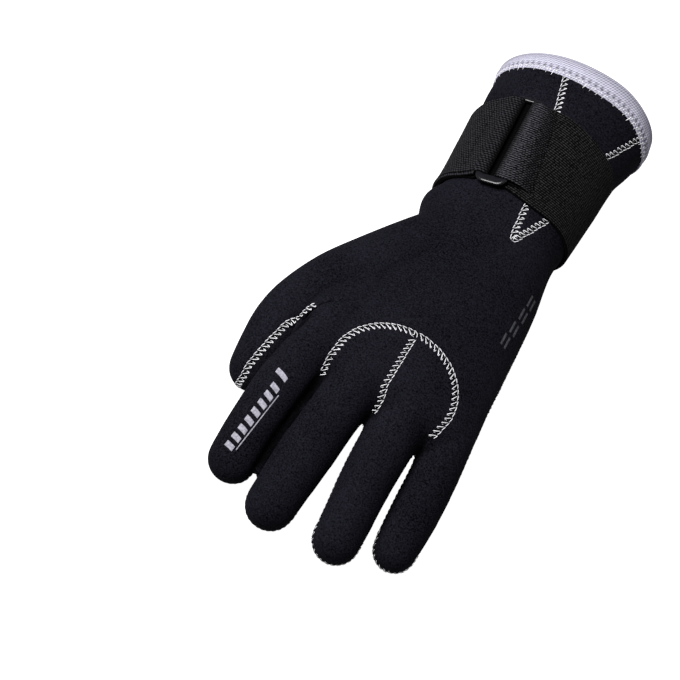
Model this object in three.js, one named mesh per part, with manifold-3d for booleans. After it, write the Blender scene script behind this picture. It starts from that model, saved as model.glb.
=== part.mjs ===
// A left-hand neoprene water-sports glove lying palm down on a flat surface, in millimetres.
// +Z is up, the fingers point to -Y, the thumb is on the -X side and the cuff opens to +Y.
// The glove is a hollow hand of sheet neoprene, sewn from panels, with a taped cuff and a wrist strap.
import * as THREE from "three";
import { mergeVertices } from "three/addons/utils/BufferGeometryUtils.js";
import Module from "manifold-3d";

const wasm = await Module();
wasm.setup();

// Driving dimensions.
const WALL = 3; // neoprene sheet
const GAP = 0.3; // clearance between pieces that touch
const CUFF_EDGE_Y = 108; // mouth of the cuff
const MOUTH_SLANT = 0.08; // the little finger's side of the mouth stands further out
const TAPE_EDGE_Y = 97.5; // finger side of the binding tape
const TAPE_THICKNESS = 1.3;
const TAPE_INSIDE = 9; // binding on the inside of the cuff
const STRAP_Y = [25.5, 78.5]; // finger side and cuff side of the elastic strap
const WEBBING_Y = [28, 77.6]; // the same of the webbing looped through the ring
const STRAP_THICKNESS = 1.6;
const HAND_SIDES = 32;
const HAND_STEPS = 20;
const INNER_HAND_SIDES = 20;
const INNER_HAND_STEPS = 12;
const DIGIT_SIDES = 14;
const INNER_DIGIT_SIDES = 10;
const DOME_STEPS = 3; // rings that round a fingertip

// Sections of the hand and cuff, from the mouth to the finger roots.
// x, z: centre; arch: how far the section's two edges hang below its middle; power: 2 is an ellipse.
const HAND_COLUMNS = ["y", "x", "z", "halfWidth", "halfDepth", "arch", "power"];
const HAND_ROWS = [
  [CUFF_EDGE_Y, 1.5, 33.4, 39.4, 32.5, 0.0, 2.0],
  [96, 2.0, 32.9, 39.4, 31.9, 0.0, 2.0],
  [79, 0.6, 31.3, 35.7, 29.6, 0.0, 2.0],
  [53, 0.8, 30.3, 34.7, 28.4, 0.0, 2.0],
  [27, 0.8, 29.8, 33.9, 27.4, 0.0, 2.0],
  [16, -1.9, 29.6, 36.0, 26.4, 0.0, 2.0],
  [4, 0.2, 29.9, 35.0, 24.6, 0.0, 2.1],
  [-12, 1.6, 31.0, 36.0, 22.8, 0.6, 2.2],
  [-30, 1.0, 33.4, 38.0, 21.2, 1.6, 2.3],
  [-50, -1.4, 36.6, 41.4, 20.0, 2.8, 2.4],
  [-70, -3.4, 39.2, 44.4, 18.6, 3.6, 2.7],
  [-88, -4.0, 40.4, 46.0, 17.0, 4.4, 2.8],
  [-100, -4.0, 40.0, 46.2, 14.6, 4.4, 2.7],
  [-107, -4.0, 39.2, 45.6, 10.8, 4.2, 2.5],
  [-112, -4.0, 37.9, 44.4, 5.2, 4.0, 2.3],
];

// Sections of the digits, from inside the hand to the centre of the rounded tip.
// roll: turn of the section about the digit's own axis, in degrees, nail side towards the thumb's edge.
const DIGIT_COLUMNS = ["x", "y", "z", "halfWidth", "halfDepth", "roll"];
const DIGITS = {
  index: [
    [-33.0, -48.0, 35.8, 13.6, 12.4, 0],
    [-40.4, -72.0, 39.6, 14.2, 12.4, 0],
    [-44.2, -91.0, 40.4, 13.4, 12.4, 0],
    [-46.2, -108.0, 36.4, 12.8, 12.4, 0],
    [-47.6, -125.0, 28.4, 12.6, 12.4, 0],
    [-48.2, -141.0, 19.2, 12.3, 12.1, 0],
    [-48.1, -154.0, 12.0, 12.0, 12.0, 0],
  ],
  middle: [
    [-12.0, -66.0, 42.5, 15.0, 13.4, 0],
    [-16.6, -88.0, 43.8, 15.0, 13.6, 0],
    [-19.0, -105.0, 40.6, 13.5, 13.4, 0],
    [-20.2, -122.0, 34.6, 13.2, 13.2, 0],
    [-21.3, -139.0, 26.6, 13.4, 12.9, 0],
    [-22.0, -153.0, 18.6, 12.9, 12.4, 0],
    [-22.2, -164.5, 12.0, 12.2, 12.0, 0],
  ],
  ring: [
    [5.0, -66.0, 41.5, 15.0, 13.4, 0],
    [8.2, -88.0, 42.4, 14.6, 13.4, 0],
    [8.2, -105.0, 39.2, 13.0, 13.2, 0],
    [8.3, -122.0, 33.4, 13.0, 13.0, 0],
    [9.2, -138.0, 25.8, 12.4, 12.6, 0],
    [10.8, -151.0, 18.2, 11.9, 12.2, 0],
    [11.8, -162.0, 12.0, 11.7, 11.9, 0],
  ],
  little: [
    [25.0, -60.0, 36.5, 13.0, 12.4, 0],
    [29.0, -82.0, 37.2, 12.8, 12.4, 0],
    [32.2, -99.0, 35.2, 11.5, 12.0, 0],
    [34.5, -115.0, 29.4, 11.5, 11.7, 0],
    [35.9, -129.0, 22.0, 11.7, 11.3, 0],
    [36.7, -140.0, 15.8, 11.3, 10.9, 0],
    [37.4, -149.5, 10.6, 10.6, 10.5, 0],
  ],
  thumb: [
    [-12.0, 2.0, 30.0, 19.5, 19.0, 0],
    [-25.0, -18.0, 30.8, 19.8, 18.4, 10],
    [-38.0, -37.0, 31.4, 18.6, 17.6, 28],
    [-51.2, -55.0, 30.8, 16.6, 15.4, 50],
    [-60.6, -72.0, 28.0, 14.0, 13.2, 68],
    [-64.0, -84.0, 23.0, 12.8, 12.4, 78],
    [-63.9, -95.0, 17.8, 12.2, 12.0, 84],
    [-62.8, -106.3, 12.0, 12.0, 11.6, 88],
  ],
};
// Height of each side seam above the digit's axis, towards its back.
const SEAM_HEIGHT = { index: -2.5, middle: -2, ring: 0.3, little: 0.3, thumb: 0 };

// Seam between back and palm in the hand: its height on each side from the section's edge.
const HAND_SEAM_COLUMNS = ["y", "thumbSide", "littleSide"];
const HAND_SEAM_ROWS = [
  [125, -8, -8],
  [20, -8, -6],
  [-20, -5, -1],
  [-60, -2, 1.5],
  [-90, -1, 1.5],
  [-118, 0, 1],
];

// Outlines in plan of the panels set into the back: points as [x, y].
const KNUCKLE_ARCH = { x: -4.0, y: -99, halfWidth: 31.6, height: 26, steps: 12 };
const CENTRE_SEAM_X = -5.6;
const FINGER_SPLITS = {
  indexMiddle: [[-34.8, -104], [-33.2, -111], [-34.4, -126], [-35.4, -142], [-35.6, -185]],
  middleRing: [[CENTRE_SEAM_X, -100], [-5.7, -112], [-5.8, -126], [-5.4, -142], [-4.6, -185]],
  ringLittle: [[25.0, -104], [22.1, -110], [22.0, -118], [22.8, -142], [25.4, -185]],
};
const KNUCKLE_FLOOR = 4; // lowest point of the space that a knuckle panel is cut from
const GUSSET_FLOOR = 40;
const GUSSET_LEFT = [[8.5, 2.5], [6, 25], [-5, 79], [-10, 97], [-13.5, 114]];
const GUSSET_RIGHT = [[8.5, 2.5], [18.2, 25], [27, 76], [34.2, 97], [37.5, 114]];

// Strap fittings: the ring's long bars run along the cuff, slightly turned.
const RING = { y: [21.5, 81.5], x: [-15.3, -18.3], width: 14.5, bar: 2.6, thickness: 1.8, corner: 3.2 };
const RING_HEIGHT = 3.9; // the ring's middle off the neoprene
const LOOP_THICKNESS = 1.1; // webbing round a bar
const LOOP_HOLE = { across: 2.1, out: 1.4 }; // half-axes of the space that a bar fills in its loop
const ANCHOR_THICKNESS = 1.8;
const TAIL_THICKNESS = 1.5;
const TAIL_END = [5, -3]; // x of the tail's slanted end, finger side and cuff side
const ANCHOR_END_ANGLE = 200; // degrees round the section, on the palm side of the thumb's edge
const BACK_TOP = 80; // above everything
const REGION_MARGIN = 4; // how far the space of the back reaches past the hand's thumb side

const COLOURS = {
  neoprene: new THREE.Color(0.012, 0.012, 0.016),
  palm: new THREE.Color(0.014, 0.014, 0.017),
  tape: new THREE.Color(0.62, 0.6, 0.66),
  elastic: new THREE.Color(0.012, 0.011, 0.011),
  ring: new THREE.Color(0.01, 0.01, 0.01),
};

// Tables and curves

const named = (columns, rows) =>
  rows.map((row) => Object.fromEntries(columns.map((name, i) => [name, row[i]])));

// The row at fractional place t of a table: a Catmull-Rom curve through each column.
function rowAt(rows, t) {
  const last = rows.length - 1;
  const i = Math.min(Math.max(Math.floor(t), 0), last - 1);
  const f = t - i;
  const result = {};
  for (const name of Object.keys(rows[0])) {
    const b = rows[i][name];
    const c = rows[i + 1][name];
    const a = i > 0 ? rows[i - 1][name] : 2 * b - c;
    const d = i + 2 <= last ? rows[i + 2][name] : 2 * c - b;
    result[name] = b + 0.5 * f * (c - a + f * (2 * a - 5 * b + 4 * c - d + f * (3 * (b - c) + d - a)));
  }
  return result;
}

const handTable = named(HAND_COLUMNS, HAND_ROWS);
const seamTable = named(HAND_SEAM_COLUMNS, HAND_SEAM_ROWS);

// The row of a table whose y is the one given; the tables run from +Y to -Y.
function rowAtY(rows, y) {
  let low = 0;
  let high = rows.length - 1;
  for (let step = 0; step < 40; step += 1) {
    const middle = (low + high) / 2;
    if (rowAt(rows, middle).y > y) low = middle;
    else high = middle;
  }
  return rowAt(rows, low);
}

const signedPower = (value, power) => Math.sign(value) * Math.abs(value) ** power;

// A point of a section, across and up from its centre, with its wall moved out by offset.
function sectionPoint(row, angle, offset) {
  const power = 2 / (row.power ?? 2);
  const across = signedPower(Math.cos(angle), power);
  const up = (row.halfDepth + offset) * signedPower(Math.sin(angle), power);
  return [(row.halfWidth + offset) * across, up - (row.arch ?? 0) * across * across];
}

// Closed meshes

// A closed solid through rings of points, each with as many as the next, with flat or pointed ends.
function loft(rings, startPoint, endPoint) {
  const sides = rings[0].length;
  const points = [startPoint, ...rings.flat(), endPoint];
  const at = (ring, side) => 1 + ring * sides + (side % sides);
  const index = [];
  for (let side = 0; side < sides; side += 1) {
    index.push(0, at(0, side + 1), at(0, side));
    index.push(points.length - 1, at(rings.length - 1, side), at(rings.length - 1, side + 1));
    for (let ring = 0; ring < rings.length - 1; ring += 1) {
      index.push(at(ring, side), at(ring, side + 1), at(ring + 1, side));
      index.push(at(ring + 1, side), at(ring, side + 1), at(ring + 1, side + 1));
    }
  }
  const geometry = new THREE.BufferGeometry().setFromPoints(points);
  geometry.setIndex(index);
  return toSolid(geometry);
}

const centreOf = (ring) =>
  ring.reduce((sum, point) => sum.add(point), new THREE.Vector3()).divideScalar(ring.length);

const cappedLoft = (rings) => loft(rings, centreOf(rings[0]), centreOf(rings.at(-1)));

// Six times the volume inside a mesh, negative when its faces point inwards.
function signedVolume(position, index) {
  const [a, b, c] = [new THREE.Vector3(), new THREE.Vector3(), new THREE.Vector3()];
  let sum = 0;
  for (let i = 0; i < index.length; i += 3) {
    a.fromBufferAttribute(position, index[i]);
    b.fromBufferAttribute(position, index[i + 1]);
    c.fromBufferAttribute(position, index[i + 2]);
    sum += a.dot(b.cross(c));
  }
  return sum;
}

function toSolid(source) {
  const bare = source.clone();
  bare.deleteAttribute("normal");
  bare.deleteAttribute("uv");
  const merged = mergeVertices(bare, 1e-4);
  const index = Array.from(merged.index.array);
  if (signedVolume(merged.attributes.position, index) < 0) index.reverse();
  const mesh = new wasm.Mesh({
    numProp: 3,
    vertProperties: new Float32Array(merged.attributes.position.array),
    triVerts: new Uint32Array(index),
  });
  return new wasm.Manifold(mesh);
}

function toGeometry(solid) {
  const mesh = solid.getMesh();
  const geometry = new THREE.BufferGeometry();
  geometry.setAttribute("position", new THREE.BufferAttribute(mesh.vertProperties, 3));
  geometry.setIndex(new THREE.BufferAttribute(mesh.triVerts, 1));
  return geometry;
}

const joined = (solids) => solids.reduce((sum, solid) => sum.add(solid));

function boxSolid(low, high) {
  const size = new THREE.Vector3().subVectors(high, low);
  const box = new THREE.BoxGeometry(size.x, size.y, size.z);
  box.translate(low.x + size.x / 2, low.y + size.y / 2, low.z + size.z / 2);
  return toSolid(box);
}

// An upright prism over an outline of [x, y] points.
function prism(outline, bottom, top) {
  const shape = new THREE.Shape(outline.map(([x, y]) => new THREE.Vector2(x, y)));
  const geometry = new THREE.ExtrudeGeometry(shape, { depth: top - bottom, bevelEnabled: false });
  geometry.translate(0, 0, bottom);
  return toSolid(geometry);
}

// The outline moved outwards by distance, each corner along the mean of its two edges' normals.
function grown(outline, distance) {
  const turn = THREE.ShapeUtils.area(outline.map(([x, y]) => new THREE.Vector2(x, y))) > 0 ? 1 : -1;
  return outline.map(([x, y], i) => {
    const before = outline.at(i - 1);
    const after = outline[(i + 1) % outline.length];
    const edge = (from, to) => new THREE.Vector2(to[1] - from[1], from[0] - to[0]).normalize();
    const first = edge(before, [x, y]);
    const normal = first.clone().add(edge([x, y], after)).normalize();
    const reach = (turn * distance) / Math.max(normal.dot(first), 0.3);
    return [x + normal.x * reach, y + normal.y * reach];
  });
}

// The hand and the digits

// The way along the cuff, slanted towards its mouth.
function slanted(y, across) {
  return y + MOUTH_SLANT * across * THREE.MathUtils.smoothstep(y, TAPE_EDGE_Y, CUFF_EDGE_Y);
}

function handRing(row, offset, sides) {
  return Array.from({ length: sides }, (_, i) => {
    const [across, up] = sectionPoint(row, (i / sides) * 2 * Math.PI, offset);
    return new THREE.Vector3(row.x + across, slanted(row.y, across), row.z + up);
  });
}

function handSolid(offset, sides, steps, startY) {
  const last = handTable.length - 1;
  const rings = Array.from({ length: steps + 1 }, (_, i) =>
    handRing(rowAt(handTable, (i / steps) * last), offset, sides),
  );
  if (startY !== undefined) rings.unshift(handRing({ ...rowAt(handTable, 0), y: startY }, offset, sides));
  const end = centreOf(rings.at(-1));
  end.y -= 2.5 + offset / 2;
  return loft(rings, centreOf(rings[0]), end);
}

// The frame of a digit at place t: its centre, the way it points, across it and out of its back.
function digitFrame(rows, t) {
  const row = rowAt(rows, t);
  const ahead = rowAt(rows, Math.min(t + 0.02, rows.length - 1));
  const behind = rowAt(rows, Math.max(t - 0.02, 0));
  const along = new THREE.Vector3(ahead.x - behind.x, ahead.y - behind.y, ahead.z - behind.z).normalize();
  const across = new THREE.Vector3().crossVectors(new THREE.Vector3(0, 0, 1), along).normalize();
  const roll = THREE.MathUtils.degToRad(row.roll);
  across.applyAxisAngle(along, roll);
  const out = new THREE.Vector3().crossVectors(along, across);
  return { row, centre: new THREE.Vector3(row.x, row.y, row.z), along, across, out };
}

function digitRing(frame, offset, sides, scale, advance) {
  return Array.from({ length: sides }, (_, i) => {
    const [across, up] = sectionPoint(frame.row, (i / sides) * 2 * Math.PI, offset);
    return frame.centre
      .clone()
      .addScaledVector(frame.across, across * scale)
      .addScaledVector(frame.out, up * scale)
      .addScaledVector(frame.along, advance);
  });
}

function digitSolid(rows, offset, sides, steps) {
  const rings = [];
  for (let i = 0; i <= steps; i += 1) {
    rings.push(digitRing(digitFrame(rows, (i / steps) * (rows.length - 1)), offset, sides, 1, 0));
  }
  const tip = digitFrame(rows, rows.length - 1);
  const radius = tip.row.halfWidth + offset;
  for (let i = 1; i < DOME_STEPS; i += 1) {
    const angle = (i / DOME_STEPS) * (Math.PI / 2);
    rings.push(digitRing(tip, offset, sides, Math.cos(angle), radius * Math.sin(angle)));
  }
  const end = tip.centre.clone().addScaledVector(tip.along, radius);
  return loft(rings, centreOf(rings[0]), end);
}

const digitTables = Object.fromEntries(
  Object.entries(DIGITS).map(([name, rows]) => [name, named(DIGIT_COLUMNS, rows)]),
);

// The space of the back: everything above the hand's side seams, and above each digit's.
function backRegion(gap) {
  const last = seamTable.length - 1;
  const rings = Array.from({ length: last * 2 + 1 }, (_, i) => {
    const seam = rowAt(seamTable, i / 2);
    const inTable = THREE.MathUtils.clamp(seam.y, HAND_ROWS.at(-1)[0], CUFF_EDGE_Y);
    const row = rowAtY(handTable, inTable);
    const edgeZ = row.z - row.arch - gap;
    const left = row.x - row.halfWidth - REGION_MARGIN;
    const right = row.x + row.halfWidth + 2 * REGION_MARGIN;
    return [
      new THREE.Vector3(left, seam.y, edgeZ + seam.thumbSide),
      new THREE.Vector3(right, seam.y, edgeZ + seam.littleSide),
      new THREE.Vector3(right, seam.y, BACK_TOP),
      new THREE.Vector3(left, seam.y, BACK_TOP),
    ];
  });
  const digitPart = ([name, rows]) => digitRegion(rows, SEAM_HEIGHT[name], gap);
  return joined([cappedLoft(rings), ...Object.entries(digitTables).map(digitPart)]);
}

function digitRegion(rows, height, gap) {
  const corner = (frame, side, up, advance) =>
    frame.centre
      .clone()
      .addScaledVector(frame.across, side * (frame.row.halfWidth + 0.6 + gap))
      .addScaledVector(frame.out, up)
      .addScaledVector(frame.along, advance);
  const ring = (frame, advance) => {
    const top = frame.row.halfDepth + 4;
    return [
      corner(frame, -1, height - gap, advance),
      corner(frame, 1, height - gap, advance),
      corner(frame, 1, top, advance),
      corner(frame, -1, top, advance),
    ];
  };
  const rings = [];
  for (let i = 0; i < rows.length; i += 1) rings.push(ring(digitFrame(rows, i), 0));
  const tip = digitFrame(rows, rows.length - 1);
  rings.push(ring(tip, tip.row.halfWidth + 3));
  return cappedLoft(rings);
}

// The arch of the knuckle seam, from the index side over the knuckles to the little side.
function knuckleArch(from, to) {
  const { x, y, halfWidth, height, steps } = KNUCKLE_ARCH;
  return Array.from({ length: steps + 1 }, (_, i) => {
    const angle = THREE.MathUtils.degToRad(from + ((to - from) * i) / steps);
    return [x + halfWidth * Math.cos(angle), y + height * Math.sin(angle)];
  });
}

const centreShare = (CENTRE_SEAM_X - KNUCKLE_ARCH.x) / KNUCKLE_ARCH.halfWidth;
const centreAngle = THREE.MathUtils.radToDeg(Math.acos(centreShare));
const middleOutline = [
  ...knuckleArch(180, centreAngle),
  ...FINGER_SPLITS.middleRing,
  ...[...FINGER_SPLITS.indexMiddle].reverse(),
];
const ringOutline = [
  ...knuckleArch(centreAngle, 0),
  ...FINGER_SPLITS.ringLittle,
  ...[...FINGER_SPLITS.middleRing].reverse(),
];
const gussetOutline = [...GUSSET_RIGHT, ...[...GUSSET_LEFT.slice(1)].reverse()];

// The strap and what is on it

// A point above the wrist at place y, angle round the section in degrees, and height off the neoprene.
function wristPoint(y, degrees, height) {
  const row = rowAtY(handTable, y);
  const [across, up] = sectionPoint(row, THREE.MathUtils.degToRad(degrees), height);
  return new THREE.Vector3(row.x + across, y, row.z + up);
}

// The angle round the wrist's section at which its upper half stands at a given x.
function wristAngle(y, x) {
  const row = rowAtY(handTable, y);
  return THREE.MathUtils.radToDeg(Math.acos((x - row.x) / row.halfWidth));
}

// A sheet of webbing on the wrist between two angles, each a function of y, from one height to another.
function wristSheet(fromAngle, toAngle, low, high, steps) {
  const rows = 3;
  const ringAt = (share) => {
    const at = (i, height) => {
      const y = THREE.MathUtils.lerp(WEBBING_Y[0], WEBBING_Y[1], i / rows);
      return wristPoint(y, THREE.MathUtils.lerp(fromAngle(y), toAngle(y), share), height);
    };
    const bottom = Array.from({ length: rows + 1 }, (_, i) => at(i, low));
    const top = Array.from({ length: rows + 1 }, (_, i) => at(rows - i, high));
    return [...bottom, ...top];
  };
  return cappedLoft(Array.from({ length: steps + 1 }, (_, i) => ringAt(i / steps)));
}

// A ring round the cuff whose section is a closed profile of [y, height] points.
function cuffRing(profile) {
  const sides = HAND_SIDES;
  const points = [];
  const index = [];
  for (let side = 0; side < sides; side += 1) {
    for (const [y, height] of profile) {
      const row = rowAtY(handTable, Math.min(y, CUFF_EDGE_Y));
      const [across, up] = sectionPoint(row, (side / sides) * 2 * Math.PI, height);
      points.push(new THREE.Vector3(row.x + across, slanted(y, across), row.z + up));
    }
  }
  const at = (side, i) => (side % sides) * profile.length + (i % profile.length);
  for (let side = 0; side < sides; side += 1) {
    for (let i = 0; i < profile.length; i += 1) {
      index.push(at(side, i), at(side, i + 1), at(side + 1, i));
      index.push(at(side + 1, i), at(side, i + 1), at(side + 1, i + 1));
    }
  }
  const geometry = new THREE.BufferGeometry().setFromPoints(points);
  geometry.setIndex(index);
  return toSolid(geometry);
}

// The hand and cuff with their walls moved out by offset, faceted as the shell's outside and inside are.
const handOutside = (offset) => handSolid(offset, HAND_SIDES, HAND_STEPS, CUFF_EDGE_Y);
const handInside = (offset) => handSolid(offset, INNER_HAND_SIDES, INNER_HAND_STEPS, CUFF_EDGE_Y + 10);

// Tape folded over the edge of the mouth, clear of the neoprene inside it.
function bindingSolid() {
  const outer = GAP + TAPE_THICKNESS;
  const inner = -(WALL + GAP + TAPE_THICKNESS);
  const edge = CUFF_EDGE_Y + GAP;
  const fold = cuffRing([
    [TAPE_EDGE_Y, -WALL / 2],
    [TAPE_EDGE_Y, outer],
    [edge - 0.4, outer],
    [edge + 0.9, outer - 1.4],
    [edge + TAPE_THICKNESS, -WALL / 2],
    [edge + 0.9, inner + 1.4],
    [edge - 0.4, inner],
    [CUFF_EDGE_Y - TAPE_INSIDE, inner],
    [CUFF_EDGE_Y - TAPE_INSIDE, -WALL / 2],
  ]);
  const inside = handInside(-WALL - GAP);
  const [low, high] = [-25, 20].map((way) => new THREE.Vector3(4.5 * way, CUFF_EDGE_Y + way, 4.5 * way));
  return fold.subtract(handOutside(GAP).subtract(inside).intersect(boxSolid(low, high)));
}

const STRAP_HIGH = GAP + STRAP_THICKNESS;
const WEBBING_MIDDLE = (WEBBING_Y[0] + WEBBING_Y[1]) / 2;
const WEBBING_WIDTH = WEBBING_Y[1] - WEBBING_Y[0];

// Everything inside the strap's outer face moved out by clearance.
function insideStrap(clearance) {
  const ends = [STRAP_Y[0] - clearance, STRAP_Y[1] + clearance];
  const ringAt = (y) => handRing(rowAtY(handTable, y), STRAP_HIGH + clearance, HAND_SIDES);
  return cappedLoft([0, 1, 2, 3].map((i) => ringAt(THREE.MathUtils.lerp(ends[0], ends[1], i / 3))));
}

const strapSolid = () => insideStrap(0).subtract(handOutside(GAP));

const SHEET_LOW = STRAP_HIGH + GAP;
const RING_LENGTH = RING.y[1] - RING.y[0];
const RING_MIDDLE = (RING.y[0] + RING.y[1]) / 2;
const LOOP_REACH = (RING.width - RING.bar) / 2; // from the ring's middle to the middle of a long bar
const ringX = (y) => THREE.MathUtils.mapLinear(y, RING.y[0], RING.y[1], RING.x[0], RING.x[1]);

// The ring's own frame: x across the strap's run, y along the cuff, z off the wrist.
function ringMatrix() {
  const [near, far] = RING.y.map((y) => wristPoint(y, wristAngle(y, ringX(y)), RING_HEIGHT));
  const angle = wristAngle(WEBBING_MIDDLE, ringX(WEBBING_MIDDLE));
  const along = new THREE.Vector3().subVectors(far, near).normalize();
  const [right, left] = [angle - 4, angle + 4].map((at) => wristPoint(WEBBING_MIDDLE, at, RING_HEIGHT));
  const side = right.sub(left);
  const out = new THREE.Vector3().crossVectors(side, along).normalize();
  const across = new THREE.Vector3().crossVectors(along, out);
  const matrix = new THREE.Matrix4().makeBasis(across, along, out);
  return matrix.setPosition(near.add(far).multiplyScalar(0.5));
}

function roundedRectangle(width, length, corner) {
  const shape = new THREE.Shape();
  const [x, y] = [width / 2, length / 2];
  shape.moveTo(-x + corner, -y);
  shape.lineTo(x - corner, -y);
  shape.absarc(x - corner, -y + corner, corner, -Math.PI / 2, 0);
  shape.lineTo(x, y - corner);
  shape.absarc(x - corner, y - corner, corner, 0, Math.PI / 2);
  shape.lineTo(-x + corner, y);
  shape.absarc(-x + corner, y - corner, corner, Math.PI / 2, Math.PI);
  shape.lineTo(-x, -y + corner);
  shape.absarc(-x + corner, -y + corner, corner, Math.PI, 1.5 * Math.PI);
  return shape;
}

function ringSolid() {
  const shape = roundedRectangle(RING.width, RING_LENGTH, RING.corner);
  shape.holes.push(roundedRectangle(RING.width - 2 * RING.bar, RING_LENGTH - 2 * RING.bar, 1.2));
  const bevel = 0.4;
  const geometry = new THREE.ExtrudeGeometry(shape, {
    depth: RING.thickness - 2 * bevel,
    bevelThickness: bevel,
    bevelSize: bevel,
    bevelOffset: -bevel,
    bevelSegments: 1,
    curveSegments: 3,
  });
  geometry.translate(0, 0, -RING.thickness / 2 + bevel);
  return toSolid(geometry.applyMatrix4(ringMatrix()));
}

// An elliptic rod round one long bar: side -1 is the thumb's side and 1 the little finger's.
function loopSolid(side, thickness, length) {
  const shape = new THREE.Shape();
  shape.absellipse(0, 0, LOOP_HOLE.across + thickness, LOOP_HOLE.out + thickness, 0, 2 * Math.PI);
  const settings = { depth: length, bevelEnabled: false, curveSegments: 6 };
  const geometry = new THREE.ExtrudeGeometry(shape, settings);
  geometry.rotateX(Math.PI / 2);
  geometry.translate(side * LOOP_REACH, WEBBING_MIDDLE - RING_MIDDLE + length / 2, 0);
  return toSolid(geometry.applyMatrix4(ringMatrix()));
}

// The angle round the wrist at which a long bar stands.
function barAngle(side, y) {
  const bar = new THREE.Vector3(side * LOOP_REACH, y - RING_MIDDLE, 0).applyMatrix4(ringMatrix());
  const row = rowAtY(handTable, y);
  const across = (bar.x - row.x) / (row.halfWidth + RING_HEIGHT);
  const up = (bar.z - row.z) / (row.halfDepth + RING_HEIGHT);
  return THREE.MathUtils.radToDeg(Math.atan2(up, across));
}

// Webbing that leaves its loop and lies on the strap as far as an angle, a function of y.
function webbingSolid(side, thickness, endAngle, steps) {
  return wristSheet((y) => barAngle(side, y), endAngle, GAP, SHEET_LOW + thickness, steps)
    .add(loopSolid(side, LOOP_THICKNESS, WEBBING_WIDTH))
    .subtract(loopSolid(side, 0, WEBBING_WIDTH + 6))
    .subtract(insideStrap(GAP));
}

const tailX = (y) => THREE.MathUtils.mapLinear(y, WEBBING_Y[0], WEBBING_Y[1], TAIL_END[0], TAIL_END[1]);
const tailEnd = (y) => wristAngle(y, tailX(y));

// Solids

const floorCut = boxSolid(new THREE.Vector3(-200, -300, -50), new THREE.Vector3(200, 300, 0));
const onFloor = (solid) => solid.subtract(floorCut);

function gloveShell() {
  const outer = joined([
    handSolid(0, HAND_SIDES, HAND_STEPS),
    ...Object.values(digitTables).map((rows) => digitSolid(rows, 0, DIGIT_SIDES, 9)),
  ]);
  const inner = joined([
    handInside(-WALL),
    ...Object.values(digitTables).map((rows) => digitSolid(rows, -WALL, INNER_DIGIT_SIDES, 6)),
  ]);
  return outer.subtract(inner);
}

const shell = onFloor(gloveShell());
const back = shell.intersect(backRegion(0));
const palm = shell.subtract(backRegion(GAP));
const panelIn = (outline, floor) => back.intersect(prism(outline, floor, BACK_TOP));
const holeFor = (outline, floor) => prism(grown(outline, GAP), floor - GAP, BACK_TOP);

// The object

const glove = new THREE.Group();

function addPiece(name, solid, colour, roughness, metalness = 0) {
  const material = new THREE.MeshStandardMaterial({ color: colour, roughness, metalness });
  const mesh = new THREE.Mesh(toGeometry(solid), material);
  mesh.name = name;
  glove.add(mesh);
}

const backPanel = back
  .subtract(holeFor(middleOutline, KNUCKLE_FLOOR))
  .subtract(holeFor(ringOutline, KNUCKLE_FLOOR))
  .subtract(holeFor(gussetOutline, GUSSET_FLOOR));
addPiece("back_panel", backPanel, COLOURS.neoprene, 0.75);
addPiece("middle_finger_panel", panelIn(middleOutline, KNUCKLE_FLOOR), COLOURS.neoprene, 0.75);
addPiece("ring_finger_panel", panelIn(ringOutline, KNUCKLE_FLOOR), COLOURS.neoprene, 0.75);
addPiece("palm_panel", palm, COLOURS.palm, 0.8);
addPiece("cuff_gusset", panelIn(gussetOutline, GUSSET_FLOOR), COLOURS.neoprene, 0.75);
addPiece("cuff_binding", onFloor(bindingSolid()), COLOURS.tape, 0.7);
addPiece("wrist_strap", onFloor(strapSolid()), COLOURS.elastic, 0.8);
const anchorEnd = () => ANCHOR_END_ANGLE;
addPiece("strap_anchor", webbingSolid(-1, ANCHOR_THICKNESS, anchorEnd, 8), COLOURS.elastic, 0.85);
addPiece("strap_tail", webbingSolid(1, TAIL_THICKNESS, tailEnd, 4), COLOURS.elastic, 0.8);
addPiece("buckle_ring", ringSolid(), COLOURS.ring, 0.3);

// The origin is on the surface that the glove lies on, under the middle of its outline.
const bounds = new THREE.Box3().setFromObject(glove);
const middleOf = bounds.getCenter(new THREE.Vector3());
glove.position.set(-middleOf.x, -middleOf.y, -bounds.min.z);

export default glove;
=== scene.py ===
# %% [markdown]
# A neoprene glove
#
# This notebook dresses the solids of a left-hand water-sports glove. The real glove is sewn from sheet
# neoprene 3 mm thick, faced with fine black nylon knit. White flat seams join its panels, a pale stretch tape
# binds the mouth of the cuff, and a strap goes round the wrist through a slide ring.
#
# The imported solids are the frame. Each cloth piece of the frame is replaced by a detailed one of the same
# place and size, so the first step is to load the frame and to keep its box.

# %% The frame
import math

import bpy
import numpy as np
from mathutils import Matrix, Vector
from mathutils.bvhtree import BVHTree


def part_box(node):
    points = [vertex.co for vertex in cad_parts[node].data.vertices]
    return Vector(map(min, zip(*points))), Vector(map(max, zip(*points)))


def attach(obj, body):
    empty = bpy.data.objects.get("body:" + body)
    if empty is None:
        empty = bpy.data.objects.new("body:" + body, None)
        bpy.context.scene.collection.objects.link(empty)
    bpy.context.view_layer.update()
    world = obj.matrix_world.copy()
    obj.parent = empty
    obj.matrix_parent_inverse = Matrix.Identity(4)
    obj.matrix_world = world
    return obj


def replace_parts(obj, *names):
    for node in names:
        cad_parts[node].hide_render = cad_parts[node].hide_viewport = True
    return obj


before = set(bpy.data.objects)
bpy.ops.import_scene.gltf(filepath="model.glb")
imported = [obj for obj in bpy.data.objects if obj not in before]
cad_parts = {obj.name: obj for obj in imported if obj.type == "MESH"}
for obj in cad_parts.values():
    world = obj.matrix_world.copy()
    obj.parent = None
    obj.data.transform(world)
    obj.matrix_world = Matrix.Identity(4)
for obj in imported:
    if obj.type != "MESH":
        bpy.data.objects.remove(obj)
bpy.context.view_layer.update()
scene = bpy.context.scene
print("nodes:", ", ".join(sorted(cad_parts)))

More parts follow.
